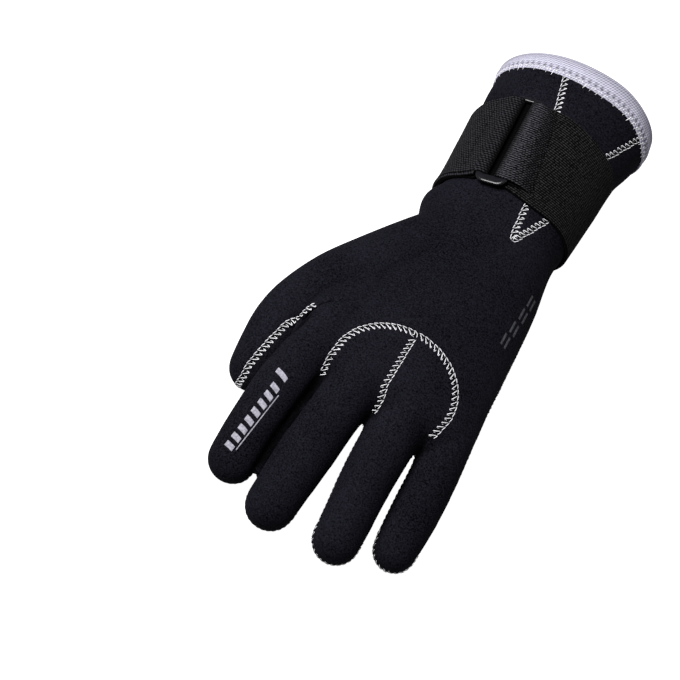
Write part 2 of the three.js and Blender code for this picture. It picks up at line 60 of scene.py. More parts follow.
# %% [markdown]
# The tables below are in millimetres, in the pattern's own frame: the wrist's axis is near x = 0, the fingers
# point to -Y and the palm lies on z = 0. The frame's origin is elsewhere, so the strap, whose middle is known
# in both frames, says how far everything moves.

# %% From the pattern's millimetres to the frame's metres
STRAP_MIDDLE = np.array([0.58, 52.0, 0.0])
low, high = (np.array(corner) * 1000 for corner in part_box("wrist_strap"))
SHIFT = (low + high) / 2 * [1, 1, 0] - STRAP_MIDDLE
print("shift in mm:", SHIFT.round(2))


def to_frame(points):
    """Pattern millimetres to frame metres: move by SHIFT, then divide by 1000."""
    return (np.asarray(points, float) + SHIFT) / 1000


# %% [markdown]
# The camera comes next, because it decides how much detail each side needs. The photograph looks down on the
# glove's back at 57 degrees through a long lens, and the picture is rolled so that the fingers point down to
# the left. The camera's own axes are worked out from that elevation and roll.

# %% Camera
LENS, SENSOR, DISTANCE = 200, 36, 1757.2
ELEVATION, ROLL = math.radians(57), math.radians(31.945)
AIM = np.array([-35.3, -79.8, 30.0])

toward = np.array([0, math.cos(ELEVATION), -math.sin(ELEVATION)])
level = np.array([1.0, 0, 0])
upward = np.array([0, math.sin(ELEVATION), math.cos(ELEVATION)])
pose = np.eye(4)
pose[:3, 0] = math.cos(ROLL) * level + math.sin(ROLL) * upward
pose[:3, 1] = -math.sin(ROLL) * level + math.cos(ROLL) * upward
pose[:3, 2] = -toward
pose[:3, 3] = to_frame(AIM - toward * DISTANCE)

camera_data = bpy.data.cameras.new("photo_camera")
camera_data.lens, camera_data.sensor_width = LENS, SENSOR
camera_data.clip_end = 20
camera = bpy.data.objects.new("photo_camera", camera_data)
camera.matrix_world = Matrix(pose.tolist())
scene.collection.objects.link(camera)
scene.camera = camera
print("camera at", pose[:3, 3].round(3))

# %% [markdown]
# Meshes from arrays
#
# Nearly every piece here is a surface worked out with numpy: a function of two parameters gives a grid of
# points. A few small functions of whole arrays come back in piece after piece, so they get short names first.

# %% Array helpers


def unit(vectors):
    """The vectors at length 1."""
    return vectors / np.maximum(np.linalg.norm(vectors, axis=-1, keepdims=True), 1e-12)


def run_along(line):
    """How far along a line of points each point lies: the sum of the steps up to it."""
    return np.concatenate([[0], np.cumsum(np.linalg.norm(np.diff(line, axis=0), axis=-1))])


def bell(distance, width):
    """exp(-(distance / width)^2): 1 in the middle, 0.37 at the width."""
    return np.exp(-((distance / width) ** 2))


def smoothstep(low, high, value):
    """3 t^2 - 2 t^3, where t goes from 0 at low to 1 at high."""
    t = np.clip((value - low) / (high - low), 0, 1)
    return t * t * (3 - 2 * t)


def signed_power(value, power):
    """|value|^power with the value's sign, for superellipses."""
    return np.sign(value) * np.abs(value) ** power


# %% [markdown]
# Four helpers make arrays of faces, and the others turn points and faces into an object. Blender fills a mesh
# fastest with `foreach_set`, which takes whole arrays.

# %% Mesh helpers


def halved(quads):
    """Each quad as two triangles."""
    return np.concatenate([quads[:, [0, 1, 2]], quads[:, [0, 2, 3]]])


def fan(centre, ring):
    """Triangles from a centre to each side of a closed ring of points."""
    return np.stack([np.full(len(ring), centre), ring, np.roll(ring, -1)], -1)


def repeated(one, number, size):
    """The faces of one shape, which has size points, repeated for a number of such shapes."""
    return (one[None] + (np.arange(number) * size)[:, None, None]).reshape(-1, one.shape[1])


def grid_faces(rows, columns, wrap_rows=False, wrap_columns=False, start=0):
    """Quads between neighbouring points of a rows by columns grid, numbered row by row from start."""
    i = np.arange(rows if wrap_rows else rows - 1)[:, None]
    j = np.arange(columns if wrap_columns else columns - 1)[None, :]
    i_next, j_next = (i + 1) % rows, (j + 1) % columns
    corners = [i * columns + j, i * columns + j_next, i_next * columns + j_next, i_next * columns + j]
    return start + np.stack(np.broadcast_arrays(*corners), -1).reshape(-1, 4)


def new_mesh(name, points, faces):
    """A smooth mesh from points in millimetres and an array of faces that all have as many corners."""
    faces = np.asarray(faces)
    mesh = bpy.data.meshes.new(name)
    mesh.vertices.add(len(points))
    mesh.vertices.foreach_set("co", to_frame(points).astype(np.float32).ravel())
    mesh.loops.add(faces.size)
    mesh.loops.foreach_set("vertex_index", faces.astype(np.int32).ravel())
    mesh.polygons.add(len(faces))
    mesh.polygons.foreach_set("loop_start", np.arange(0, faces.size, faces.shape[1], dtype=np.int32))
    mesh.update(calc_edges=True)
    mesh.validate()
    mesh.shade_smooth()
    return mesh


def volume_sign(points, faces):
    """+1 where a closed mesh's faces point outwards, by the sign of its summed tetrahedra."""
    a, b, c = (points[faces[:, k]] for k in (0, 1, 2))
    total = np.einsum("ij,ij->i", a, np.cross(b, c)).sum()
    if faces.shape[1] == 4:
        a, b, c = (points[faces[:, k]] for k in (0, 2, 3))
        total += np.einsum("ij,ij->i", a, np.cross(b, c)).sum()
    return 1 if total > 0 else -1


def new_piece(name, points, faces, material, slot, closed=True):
    """An object at the origin that rides on the glove. The faces of a closed mesh are turned outwards."""
    points, faces = np.array(points, float), np.asarray(faces)
    points[:, 2] = np.maximum(points[:, 2], 0)  # nothing goes under the floor
    if closed and volume_sign(points - points.mean(0), faces) < 0:
        faces = faces[:, ::-1]
    piece = bpy.data.objects.new(name, new_mesh(name, points, faces))
    scene.collection.objects.link(piece)
    piece.data.materials.append(material)
    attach(piece, "root")
    print(f"{name}: {len(faces)} faces")
    return piece


# %% [markdown]
# Cloth materials
#
# A cloth is a colour that varies a little, a rough surface with a soft sheen, and a fine relief. The relief
# has the same form in both knits, small crossed ribs, so it is one node group that takes the pitch. It reads
# the Object coordinates, and the normal says which two axes lie most nearly in the surface.

# %% The node group of crossed ribs


def math_node(tree, operation, *values):
    """A Math node of up to three values, which are sockets or numbers."""
    node = tree.nodes.new("ShaderNodeMath")
    node.operation = operation
    for place, value in zip(node.inputs, values):
        if isinstance(value, bpy.types.NodeSocket):
            tree.links.new(value, place)
        else:
            place.default_value = value
    return node.outputs[0]


def mixed(tree, one, other, share):
    """one * share + other * (1 - share)."""
    shares = math_node(tree, "MULTIPLY", one, share), math_node(tree, "MULTIPLY", other, 1 - share)
    return math_node(tree, "ADD", *shares)


def separated(tree, vector):
    """The three numbers of a vector."""
    node = tree.nodes.new("ShaderNodeSeparateXYZ")
    tree.links.new(vector, node.inputs[0])
    return node.outputs


def make_rib_group():
    """Height = (1 + sum(w * sin(2 pi u / pitch) * sin(2 pi v / pitch)) / sum(w)) / 2. For each axis, w is
    |normal|^6 on it, and u and v are the places on the other two."""
    group = bpy.data.node_groups.new("crossed_ribs", "ShaderNodeTree")
    for name, kind in (("Position", "Vector"), ("Normal", "Vector"), ("Pitch", "Float")):
        group.interface.new_socket(name=name, in_out="INPUT", socket_type="NodeSocket" + kind)
    group.interface.new_socket(name="Height", in_out="OUTPUT", socket_type="NodeSocketFloat")
    enter, leave = group.nodes.new("NodeGroupInput"), group.nodes.new("NodeGroupOutput")
    place, facing = (separated(group, enter.outputs[name]) for name in ("Position", "Normal"))
    turn = math_node(group, "DIVIDE", 2 * math.pi, enter.outputs["Pitch"])
    waves = [math_node(group, "SINE", math_node(group, "MULTIPLY", value, turn)) for value in place]
    shares = [math_node(group, "POWER", math_node(group, "ABSOLUTE", value), 6.0) for value in facing]
    total = math_node(group, "ADD", math_node(group, "ADD", shares[0], shares[1]), shares[2])
    height = None
    for k in range(3):
        crossed = math_node(group, "MULTIPLY", waves[(k + 1) % 3], waves[(k + 2) % 3])
        part = math_node(group, "MULTIPLY", crossed, shares[k])
        height = part if height is None else math_node(group, "ADD", height, part)
    height = math_node(group, "MULTIPLY_ADD", math_node(group, "DIVIDE", height, total), 0.5, 0.5)
    group.links.new(height, leave.inputs["Height"])
    return group


rib_group = make_rib_group()

# %% [markdown]
# A cloth material sets its flat numbers on the shader's own sockets, and lets only what varies over the
# surface come through links: the base colour and the normal.

# %% Cloth materials


def ramp_node(tree, factor, dark, light, low=0.0, high=1.0):
    """A colour ramp from dark at low to light at high."""
    ramp = tree.nodes.new("ShaderNodeValToRGB")
    ramp.color_ramp.elements[0].position, ramp.color_ramp.elements[1].position = low, high
    ramp.color_ramp.elements[0].color, ramp.color_ramp.elements[1].color = (*dark, 1), (*light, 1)
    tree.links.new(factor, ramp.inputs[0])
    return ramp.outputs[0]


def set_inputs(node, values):
    """Puts plain values on a node's inputs, by the inputs' names."""
    for name, value in values.items():
        node.inputs[name].default_value = value


def noise_node(tree, position, scale, detail=3.0):
    """Noise with scale cells in a metre."""
    noise = tree.nodes.new("ShaderNodeTexNoise")
    set_inputs(noise, {"Scale": scale, "Detail": detail})
    tree.links.new(position, noise.inputs["Vector"])
    return noise.outputs[0]


def bump_node(tree, height, distance):
    """A normal tilted by a height that spans the distance, in metres."""
    bump = tree.nodes.new("ShaderNodeBump")
    set_inputs(bump, {"Strength": 1.0, "Distance": distance})
    tree.links.new(height, bump.inputs["Height"])
    return bump.outputs[0]


def shaded(tree, colour):
    """The colour, darkened by painted shade where the piece's own shade attribute says so: colour * (1 -
    shade).
    """
    shade = tree.nodes.new("ShaderNodeAttribute")
    shade.attribute_name = "shade"
    left = math_node(tree, "SUBTRACT", 1.0, shade.outputs["Fac"])
    scale = tree.nodes.new("ShaderNodeVectorMath")
    scale.operation = "SCALE"
    tree.links.new(colour, scale.inputs[0])
    tree.links.new(left, scale.inputs["Scale"])
    return scale.outputs[0]


def add_shade(piece, values):
    """The painted shade attribute, one number for each point: 0 leaves the colour, 1 makes it black."""
    layer = piece.data.attributes.new("shade", "FLOAT", "POINT")
    layer.data.foreach_set("value", np.clip(values, 0, 1).astype(np.float32).ravel())


def start_material(name, values):
    """A material with plain values on its shader, with its tree, shader and the coordinates' outputs."""
    material = bpy.data.materials.new(name)
    material.use_nodes = True
    tree = material.node_tree
    shader = tree.nodes["Principled BSDF"]
    set_inputs(shader, values)
    return material, tree, shader, tree.nodes.new("ShaderNodeTexCoord").outputs


def cloth_material(name, dark, light, pitch, relief):
    """Knit: crossed ribs of the given pitch and relief in metres, a fine mottle, slow changes of tone, and
    the piece's painted shade.
    """
    material, tree, shader, coordinates = start_material(name, {
        "Roughness": 0.85, "Specular IOR Level": 0.02,
        "Sheen Weight": 0.01, "Sheen Roughness": 0.45, "Sheen Tint": (0.7, 0.7, 1.0, 1),
    })
    place = coordinates["Object"]
    ribs = tree.nodes.new("ShaderNodeGroup")
    ribs.node_tree = rib_group
    ribs.inputs["Pitch"].default_value = pitch
    tree.links.new(place, ribs.inputs["Position"])
    tree.links.new(coordinates["Normal"], ribs.inputs["Normal"])
    speck = noise_node(tree, place, 1300, 1.0)
    mottle = mixed(tree, speck, noise_node(tree, place, 30), 0.75)
    tree.links.new(shaded(tree, ramp_node(tree, mottle, dark, light, 0.32, 0.68)),
                   shader.inputs["Base Color"])
    tree.links.new(bump_node(tree, mixed(tree, ribs.outputs[0], speck, 0.6), relief), shader.inputs["Normal"])
    return material


def mottled_material(name, dark, light, scale, low, high, values, detail=3.0):
    """A plain surface whose colour goes from dark to light where the noise goes from low to high."""
    material, tree, shader, coordinates = start_material(name, values)
    mottle = noise_node(tree, coordinates["Object"], scale, detail)
    tree.links.new(ramp_node(tree, mottle, dark, light, low, high), shader.inputs["Base Color"])
    return material


KNIT_PITCH, KNIT_RELIEF = 0.0009, 0.00014
neoprene = cloth_material("neoprene_knit", (0.0004, 0.0004, 0.0008), (0.0092, 0.0088, 0.0132), KNIT_PITCH,
                          KNIT_RELIEF)
palm_knit = cloth_material("palm_knit", (0.0008, 0.0008, 0.0012), (0.0095, 0.0092, 0.0128), KNIT_PITCH,
                           KNIT_RELIEF)
print("cloth materials:", neoprene.name, palm_knit.name)

# %% [markdown]
# The hand's forms
#
# The glove's body is a hand and five digits. Each is a tube: a table gives its centre and half sizes at a few
# places, a Catmull-Rom curve runs through each column, and a superellipse is carried along. These are the
# same named tables as the solids', read more finely.

# %% Tables in millimetres
HAND = np.array([  # y, x, z, half width, half depth, arch, power
    [120, 2.4, 33.4, 40.3, 32.5, 0.0, 2.0], [108, 2.4, 33.4, 40.3, 32.5, 0.0, 2.0],
    [96, 3.0, 32.9, 40.7, 31.9, 0.0, 2.0], [79, 0.95, 31.3, 36.65, 29.6, 0.0, 2.0],
    [53, 1.2, 30.3, 35.1, 28.4, 0.0, 2.0], [27, 0.95, 29.8, 34.05, 27.4, 0.0, 2.0],
    [16, -1.9, 29.6, 36.0, 26.4, 0.0, 2.0], [4, 0.2, 29.9, 35.0, 24.6, 0.0, 2.1],
    [-12, 1.6, 31.0, 36.0, 22.8, 0.6, 2.2], [-30, 1.0, 33.4, 38.0, 21.2, 1.6, 2.3],
    [-50, -1.4, 36.6, 41.4, 20.0, 2.8, 2.4], [-70, -3.4, 39.2, 44.4, 18.6, 3.6, 2.7],
    [-88, -4.0, 40.4, 46.0, 17.0, 4.4, 2.8], [-100, -4.0, 40.0, 46.2, 14.6, 4.4, 2.7],
    [-107, -4.0, 39.2, 45.6, 10.8, 4.2, 2.5], [-112, -4.0, 37.9, 44.4, 5.2, 4.0, 2.3],
])
DIGITS = {  # x, y, z, half width, half depth, roll in degrees
    "index": [
        [-33.0, -48, 35.8, 13.6, 12.4, 0], [-40.4, -72, 39.6, 14.2, 12.4, 0],
        [-44.2, -91, 40.4, 13.4, 12.4, 0], [-46.2, -108, 36.4, 12.8, 12.4, 0],
        [-47.6, -125, 28.4, 12.6, 12.4, 0], [-48.2, -141, 19.2, 12.3, 12.1, 0],
        [-48.1, -154, 12.0, 12.0, 12.0, 0],
    ],
    "middle": [
        [-12.0, -66, 42.5, 15.0, 13.4, 0], [-16.6, -88, 43.8, 15.0, 13.6, 0],
        [-19.0, -105, 40.6, 13.5, 13.4, 0], [-20.2, -122, 34.6, 13.2, 13.2, 0],
        [-21.3, -139, 26.6, 13.4, 12.9, 0], [-22.0, -153, 18.6, 12.9, 12.4, 0],
        [-22.2, -164.5, 12.0, 12.2, 12.0, 0],
    ],
    "ring": [
        [5.0, -66, 41.5, 15.0, 13.4, 0], [8.2, -88, 42.4, 14.6, 13.4, 0], [8.2, -105, 39.2, 13.0, 13.2, 0],
        [8.3, -122, 33.4, 13.0, 13.0, 0], [9.2, -138, 25.8, 12.4, 12.6, 0], [10.8, -151, 18.2, 11.9, 12.2, 0],
        [11.8, -162, 12.0, 11.7, 11.9, 0],
    ],
    "little": [
        [25.0, -60, 36.5, 13.0, 12.4, 0], [29.0, -82, 37.2, 12.8, 12.4, 0], [32.2, -99, 35.2, 11.5, 12.0, 0],
        [34.5, -115, 29.4, 11.5, 11.7, 0], [35.9, -129, 22.0, 11.7, 11.3, 0],
        [36.7, -140, 15.8, 11.3, 10.9, 0], [37.4, -149.5, 10.6, 10.6, 10.5, 0],
    ],
    "thumb": [
        [-12.0, 2, 30.0, 19.5, 19.0, 0], [-25.0, -18, 30.8, 19.8, 18.4, 10],
        [-38.0, -37, 31.4, 18.6, 17.6, 28], [-51.2, -55, 30.8, 16.6, 15.4, 50],
        [-60.6, -72, 28.0, 14.0, 13.2, 68], [-64.0, -84, 23.0, 12.8, 12.4, 78],
        [-63.9, -95, 17.8, 12.2, 12.0, 84], [-62.8, -106.3, 12.0, 12.0, 11.6, 88],
    ],
}
SEAM_HEIGHT = {"index": -2.5, "middle": -1.6, "ring": 1.3, "little": 1.3, "thumb": 0}
THUMB_SEAM = [0, 0, -0.5, -1.5, -2, -2.2, 0.1, 2.9]  # the thumb's own seam wanders: its height at each row
INDEX_THUMB_SIDE = -4.5  # the index finger's seam lies this much lower on the thumb's side
HAND_SEAM = np.array([  # y, the seam's height off the section's edge on the thumb's side and on the other
    [125, -8, -8], [20, -8, -6], [-20, -5, -1], [-60, -2, 1.5], [-90, -1, 1.5], [-118, 0, 1],
])
CUFF_EDGE, SHEET_END, TAPE_EDGE = 108, 106.9, 95.8
# the mouth rises towards the little finger, and its sides dip
MOUTH_SLANT, MOUTH_DIP, MOUTH_CREST = 0.054, 0.95, 0.9
# between strap and tape the cuff bulges: the share goes from 0 to 1 over these y, from both ends
BULGE_START, BULGE_END = (69, 75), (97, 84)
BULGE_THUMB_SIDE, BULGE_LITTLE_SIDE = 1.2, 1.9

# %% Curves through the tables


def table_at(rows, place):
    """Rows of a table at fractional places: a Catmull-Rom curve through each column."""
    rows, place = np.asarray(rows, float), np.asarray(place, float)
    last = len(rows) - 1
    i = np.clip(np.floor(place).astype(int), 0, last - 1)
    f = (place - i)[:, None]
    b, c = rows[i], rows[i + 1]
    a = np.where((i > 0)[:, None], rows[np.maximum(i - 1, 0)], 2 * b - c)
    d = np.where((i + 2 <= last)[:, None], rows[np.minimum(i + 2, last)], 2 * c - b)
    return b + 0.5 * f * (c - a + f * (2 * a - 5 * b + 4 * c - d + f * (3 * (b - c) + d - a)))


HAND_FINE = table_at(HAND[1:], np.linspace(0, len(HAND) - 2, 600))[::-1]


def hand_columns(y):
    """x, z, half width, half depth, arch and power of the hand's section at each y."""
    return [np.interp(y, HAND_FINE[:, 0], HAND_FINE[:, k]) for k in range(1, 7)]


def mouth_rise(y, side):
    """slant * side - dip * (side / 40)^2, and a crest round side = 17, fading in over the tape's width."""
    rise = MOUTH_SLANT * side - MOUTH_DIP * (side / 40) ** 2 + MOUTH_CREST * bell(side - 17, 13)
    return rise * smoothstep(TAPE_EDGE, CUFF_EDGE, y)


def hand_point(y, angle, offset=0.0):
    """Points on the hand or cuff: a superellipse, (cos, sin)^(2 / power), whose edges hang by arch * cos^2.
    The mouth isn't level, so y has a rise near the edge."""
    y, angle = np.broadcast_arrays(np.asarray(y, float), np.asarray(angle, float))
    x, z, wide, deep, arch, power = hand_columns(y)
    across = signed_power(np.cos(angle), 2 / power)
    up = (deep + offset) * signed_power(np.sin(angle), 2 / power) - arch * across**2
    side = (wide + offset) * across
    return np.stack([x + side, y + mouth_rise(y, side), z + up], -1)


def digit_frames(name, place):
    """Centres, directions along, across and out, half widths and half depths at places on a digit."""
    rows = DIGITS[name]
    last = len(rows) - 1
    here = table_at(rows, place)
    ahead = table_at(rows, np.minimum(place + 0.02, last)) - table_at(rows, np.maximum(place - 0.02, 0))
    along = unit(ahead[:, :3])
    flat = unit(np.cross([0, 0, 1], along))
    up = np.cross(along, flat)
    roll = np.radians(here[:, 5:6])
    across = flat * np.cos(roll) + up * np.sin(roll)
    return here[:, :3], along, across, np.cross(along, across), here[:, 3], here[:, 4]


def digit_tube(name, steps=48, sides=48, dome=10):
    """Ellipses along the digit's axis, then a dome of ellipses shrunk by cos(turn), moved on by sin(turn)."""
    place = np.linspace(0, len(DIGITS[name]) - 1, steps)
    centre, along, across, out, wide, deep = digit_frames(name, place)
    angle = np.linspace(0, 2 * np.pi, sides, endpoint=False)
    tube = centre[:, None] + across[:, None] * (wide[:, None] * np.cos(angle))[..., None]
    tube = tube + out[:, None] * (deep[:, None] * np.sin(angle))[..., None]
    turn = np.linspace(0, np.pi / 2, dome + 1)[1:]
    ring = tube[-1] - centre[-1]
    tip = centre[-1] + ring * np.maximum(np.cos(turn), 0.02)[:, None, None]
    return np.concatenate([tube, tip + along[-1] * (wide[-1] * np.sin(turn))[:, None, None]])


def hand_tube(steps=90, sides=96):
    """The hand's sections from beyond the mouth to the finger roots, the cuff's bulge and a small cap."""
    y = np.concatenate([[121], np.linspace(CUFF_EDGE, HAND[-1, 0], steps)])
    angle = np.linspace(0, 2 * np.pi, sides, endpoint=False)
    tube = hand_point(y[:, None], angle[None, :])
    bulge = smoothstep(*BULGE_START, y) * smoothstep(*BULGE_END, y)
    outward = np.where(np.cos(angle) > 0, BULGE_LITTLE_SIDE, -BULGE_THUMB_SIDE)
    tube[..., 0] += bulge[:, None] * outward * np.cos(angle) ** 2
    middle = tube[-1].mean(0)
    return np.concatenate([tube, [middle + (tube[-1] - middle) * 0.5 - [0, 1.8, 0]]])


# %% [markdown]
# One skin from six tubes
#
# The tubes overlap, and the skin of the glove is the outside of them all. A boolean would keep the hard
# creases between them, but sheet neoprene bridges such creases with soft webs. A voxel remesh joins the tubes
# into one even skin instead, and a few rounds of averaging soften the webs.

# %% Remesh the tubes
VOXEL = 1.05


def capped(tube, start):
    """A tube of rings, closed by two middle points: its points, and its triangles numbered from start."""
    rings, sides = tube.shape[:2]
    points = np.concatenate([tube.reshape(-1, 3), [tube[0].mean(0), tube[-1].mean(0)]])
    side = np.arange(sides)
    first = fan(rings * sides, side)[:, [0, 2, 1]]
    end = fan(rings * sides + 1, (rings - 1) * sides + side)
    triangles = np.concatenate([halved(grid_faces(rings, sides, wrap_columns=True)), first, end])
    if volume_sign(points - points.mean(0), triangles) < 0:
        triangles = triangles[:, ::-1]
    return points, triangles + start


tubes, triangles = [], []
for tube in [hand_tube()] + [digit_tube(name) for name in DIGITS]:
    points, faces = capped(tube, sum(len(t) for t in tubes))
    tubes.append(points)
    triangles.append(faces)

body = bpy.data.objects.new("glove_body",
                            new_mesh("glove_body", np.concatenate(tubes), np.concatenate(triangles)))
scene.collection.objects.link(body)
remesh = body.modifiers.new("skin", "REMESH")
remesh.mode, remesh.voxel_size = "VOXEL", VOXEL / 1000
skin = body.evaluated_get(bpy.context.evaluated_depsgraph_get()).to_mesh()
points = np.zeros(len(skin.vertices) * 3)
skin.vertices.foreach_get("co", points)
points = points.reshape(-1, 3) * 1000 - SHIFT
skin.calc_loop_triangles()
triangles = np.zeros(len(skin.loop_triangles) * 3, int)
skin.loop_triangles.foreach_get("vertices", triangles)
triangles = triangles.reshape(-1, 3)
bpy.data.objects.remove(body)
print("skin:", len(points), "points,", len(triangles), "triangles")

# %% Soften the skin
SOFT_ROUNDS = 14


def summed(places, values, number):
    """Adds the rows of values that have the same place: one row for each of a number of places."""
    return np.stack([np.bincount(places, values[:, k], number) for k in range(values.shape[1])], -1)


def edges_of(triangles):
    """Each edge of the triangles once, as pairs of point numbers."""
    pairs = np.sort(triangles[:, [[0, 1], [1, 2], [2, 0]]].reshape(-1, 2), axis=1)
    return np.unique(pairs, axis=0)


def neighbour_mean(values, edges):
    """For each point the mean of its neighbours' values."""
    ends = np.concatenate([edges, edges[:, ::-1]])
    count = np.bincount(ends[:, 0], minlength=len(values))[:, None]
    return summed(ends[:, 0], values[ends[:, 1]], len(values)) / np.maximum(count, 1)


def relaxed(points, edges, rounds):
    """Laplacian smoothing: each round moves every point halfway to its neighbours' mean."""
    for _ in range(rounds):
        points = points + 0.5 * (neighbour_mean(points, edges) - points)
    return points


def point_normals(points, triangles):
    """Unit normals: the sum of the cross products of the triangles that meet at each point."""
    a, b, c = (points[triangles[:, k]] for k in range(3))
    return unit(summed(triangles.ravel(), np.repeat(np.cross(b - a, c - a), 3, axis=0), len(points)))


edges = edges_of(triangles)
points = relaxed(points, edges, SOFT_ROUNDS)
print("softened in", SOFT_ROUNDS, "rounds")

# %% [markdown]
# Where each point belongs
#
# The seams are drawn with fields. A field gives each point of the skin a number in millimetres that changes
# sign at a seam, and cutting the skin where the field is zero gives two panels whose edges meet exactly. The
# side seams need to know which digit a point is on, so each tube first says how far out a point lies, as a
# share of its own half sizes.

# %% Shares and heights of each tube
TUBE_NAMES = ["hand"] + list(DIGITS)
BLEND = 14  # how sharply a point belongs to the tube in which its share is least
DIGIT_RADIUS = 13  # turns a difference of two digits' shares into millimetres


def hand_share(points):
    """How far out each point is in the hand's section, 1 on its wall, and its height over the side seam."""
    y = points[:, 1]
    x, z, wide, deep, arch, power = hand_columns(y)
    side = (points[:, 0] - x) / wide
    up = (points[:, 2] - z + arch * np.minimum(side**2, 1)) / deep
    share = (np.abs(side) ** power + np.abs(up) ** power) ** (1 / power)
    share += np.maximum(0, HAND[-1, 0] - y) / 6
    seam_left, seam_right = (np.interp(y, HAND_SEAM[::-1, 0], HAND_SEAM[::-1, k]) for k in (1, 2))
    seam = z - arch + seam_left + (seam_right - seam_left) * smoothstep(-1, 1, side)
    return share, points[:, 2] - seam


def digit_share(points, name):
    """The same for a digit, measured from the nearest of many places on its axis."""
    place = np.linspace(0, len(DIGITS[name]) - 1, 90)
    centre, along, across, out, wide, deep = digit_frames(name, place)
    distance = (points**2).sum(1)[:, None] - 2 * points @ centre.T + (centre**2).sum(1)[None]
    near = distance.argmin(1)
    reach = points - centre[near]
    side = (reach * across[near]).sum(1) / wide[near]
    up = (reach * out[near]).sum(1)
    beyond = (reach * along[near]).sum(1)
    beyond = np.where(near == len(place) - 1, np.maximum(beyond, 0),
                      np.where(near == 0, np.maximum(-beyond, 0), 0))
    share = np.sqrt(side**2 + (up / deep[near]) ** 2 + (beyond / wide[near]) ** 2)
    seam = np.full(len(points), float(SEAM_HEIGHT[name]))
    if name == "thumb":
        seam = np.interp(place[near], np.arange(len(THUMB_SEAM)), THUMB_SEAM)
    if name in ("middle", "ring", "little"):  # along a finger's sides the seam lies lower than round its tip
        rows = len(DIGITS[name])
        seam -= 3.6 * smoothstep(0.1, 0.7, np.abs(side)) * smoothstep(rows - 1.15, rows - 1.7, place[near])
    if name == "index":
        seam += INDEX_THUMB_SIDE * smoothstep(0.3, -0.6, side) * smoothstep(6.2, 5.4, place[near])
    return share, up - seam


measured = [hand_share(points)] + [digit_share(points, name) for name in DIGITS]
shares = np.stack([share for share, _ in measured])
heights = np.stack([height for _, height in measured])
weights = np.exp(-BLEND * (shares - shares.min(0)))
side_field = (weights * heights).sum(0) / weights.sum(0)
share_of = dict(zip(TUBE_NAMES, shares))
print("side seams from", len(TUBE_NAMES), "tubes")

# %% [markdown]
# Between the thumb and the index finger the sheet folds into a narrow groove. The seam runs down beside it on
# the thumb, where its course is given by points. Between the index and middle fingers, which press together,
# the skin gets a deep crease.

# %% The seam beside the thumb, the groove and the crease
THUMB_PATH = np.array([
    [-48.5, -76.0, 50.5], [-53.5, -81.8, 48.0], [-56.3, -86.0, 43.0], [-59.3, -89.2, 35.5],
    [-61.1, -94.0, 31.3], [-62.5, -99.6, 28.4], [-63.5, -104.6, 26.0], [-64.4, -111.0, 22.7],
])
GROOVE = np.array([
    [-52.0, -82.5, 50.5], [-54.4, -88.0, 47.5], [-56.0, -93.5, 42.0], [-57.6, -100.0, 36.0],
    [-59.4, -107.0, 31.0], [-60.8, -113.0, 26.0],
])
PRESS = np.array([
    [-53.5, -88, 48.5], [-55.4, -96.7, 46.5], [-57.0, -104, 43.5], [-58.4, -112.7, 39.0], [-59.2, -120, 35.0],
])


def nearest_on(points, line):
    """For each point: its distance to a broken line, the nearest place on the line, the line's direction
    there and the place's share of the whole line."""
    best = np.full(len(points), 1e9)
    place, ahead, share = np.zeros_like(points), np.zeros_like(points), np.zeros(len(points))
    for k, (a, b) in enumerate(zip(line[:-1], line[1:])):
        t = np.clip((points - a) @ (b - a) / ((b - a) @ (b - a)), 0, 1)
        spot = a + t[:, None] * (b - a)
        distance = np.linalg.norm(points - spot, axis=1)
        closer = distance < best
        best = np.where(closer, distance, best)
        place = np.where(closer[:, None], spot, place)
        ahead = np.where(closer[:, None], (b - a) / np.linalg.norm(b - a), ahead)
        share = np.where(closer, (k + t) / (len(line) - 1), share)
    return best, place, ahead, share


def furrow(distance, share, depth, width, fade_in, fade_out):
    """depth * bell(distance, width), fading in up to the share fade_in of the line and out from fade_out."""
    return depth * bell(distance, width) * smoothstep(0.0, fade_in, share) * smoothstep(1.0, fade_out, share)


skin_normals = point_normals(points, triangles)
if (skin_normals * (points - points.mean(0))).sum() < 0:
    triangles, skin_normals = triangles[:, ::-1], -skin_normals
path_distance, path_place, path_ahead, path_share = nearest_on(points, THUMB_PATH)
beside = ((points - path_place) * np.cross(path_ahead, skin_normals)).sum(1)
path_weight = bell(path_distance, 6.0) * smoothstep(1.0, 0.8, path_share)
side_field = (1 - path_weight) * side_field + path_weight * beside

groove_distance, _, _, groove_share = nearest_on(points, GROOVE)
press_distance, _, _, press_share = nearest_on(points, PRESS)
groove_depth = furrow(groove_distance, groove_share, depth=5.5, width=2.8, fade_in=0.35, fade_out=0.8)
press_depth = furrow(press_distance, press_share, depth=2.6, width=3.6, fade_in=0.3, fade_out=0.6)
pressed = np.abs(share_of["index"] - share_of["middle"]) * DIGIT_RADIUS
pressed = pressed + np.maximum(0, share_of["index"] - 1.35) * 30
crease_depth = 2.8 * bell(pressed, 2.4) * smoothstep(-100, -116, points[:, 1]) * smoothstep(-5, 0, side_field)
sunk = relaxed((np.maximum(groove_depth, crease_depth) + press_depth)[:, None], edges, 3)[:, 0]

# %% [markdown]
# The back has three insets. Two meet in an arch over the knuckles and run down the middle and ring fingers,
# and a narrow wedge opens the cuff. The arch is half an ellipse in plan, and below it a finger's share
# decides between two fingers. The wedge is a plain outline in plan, whose field is the distance to its
# nearest side.

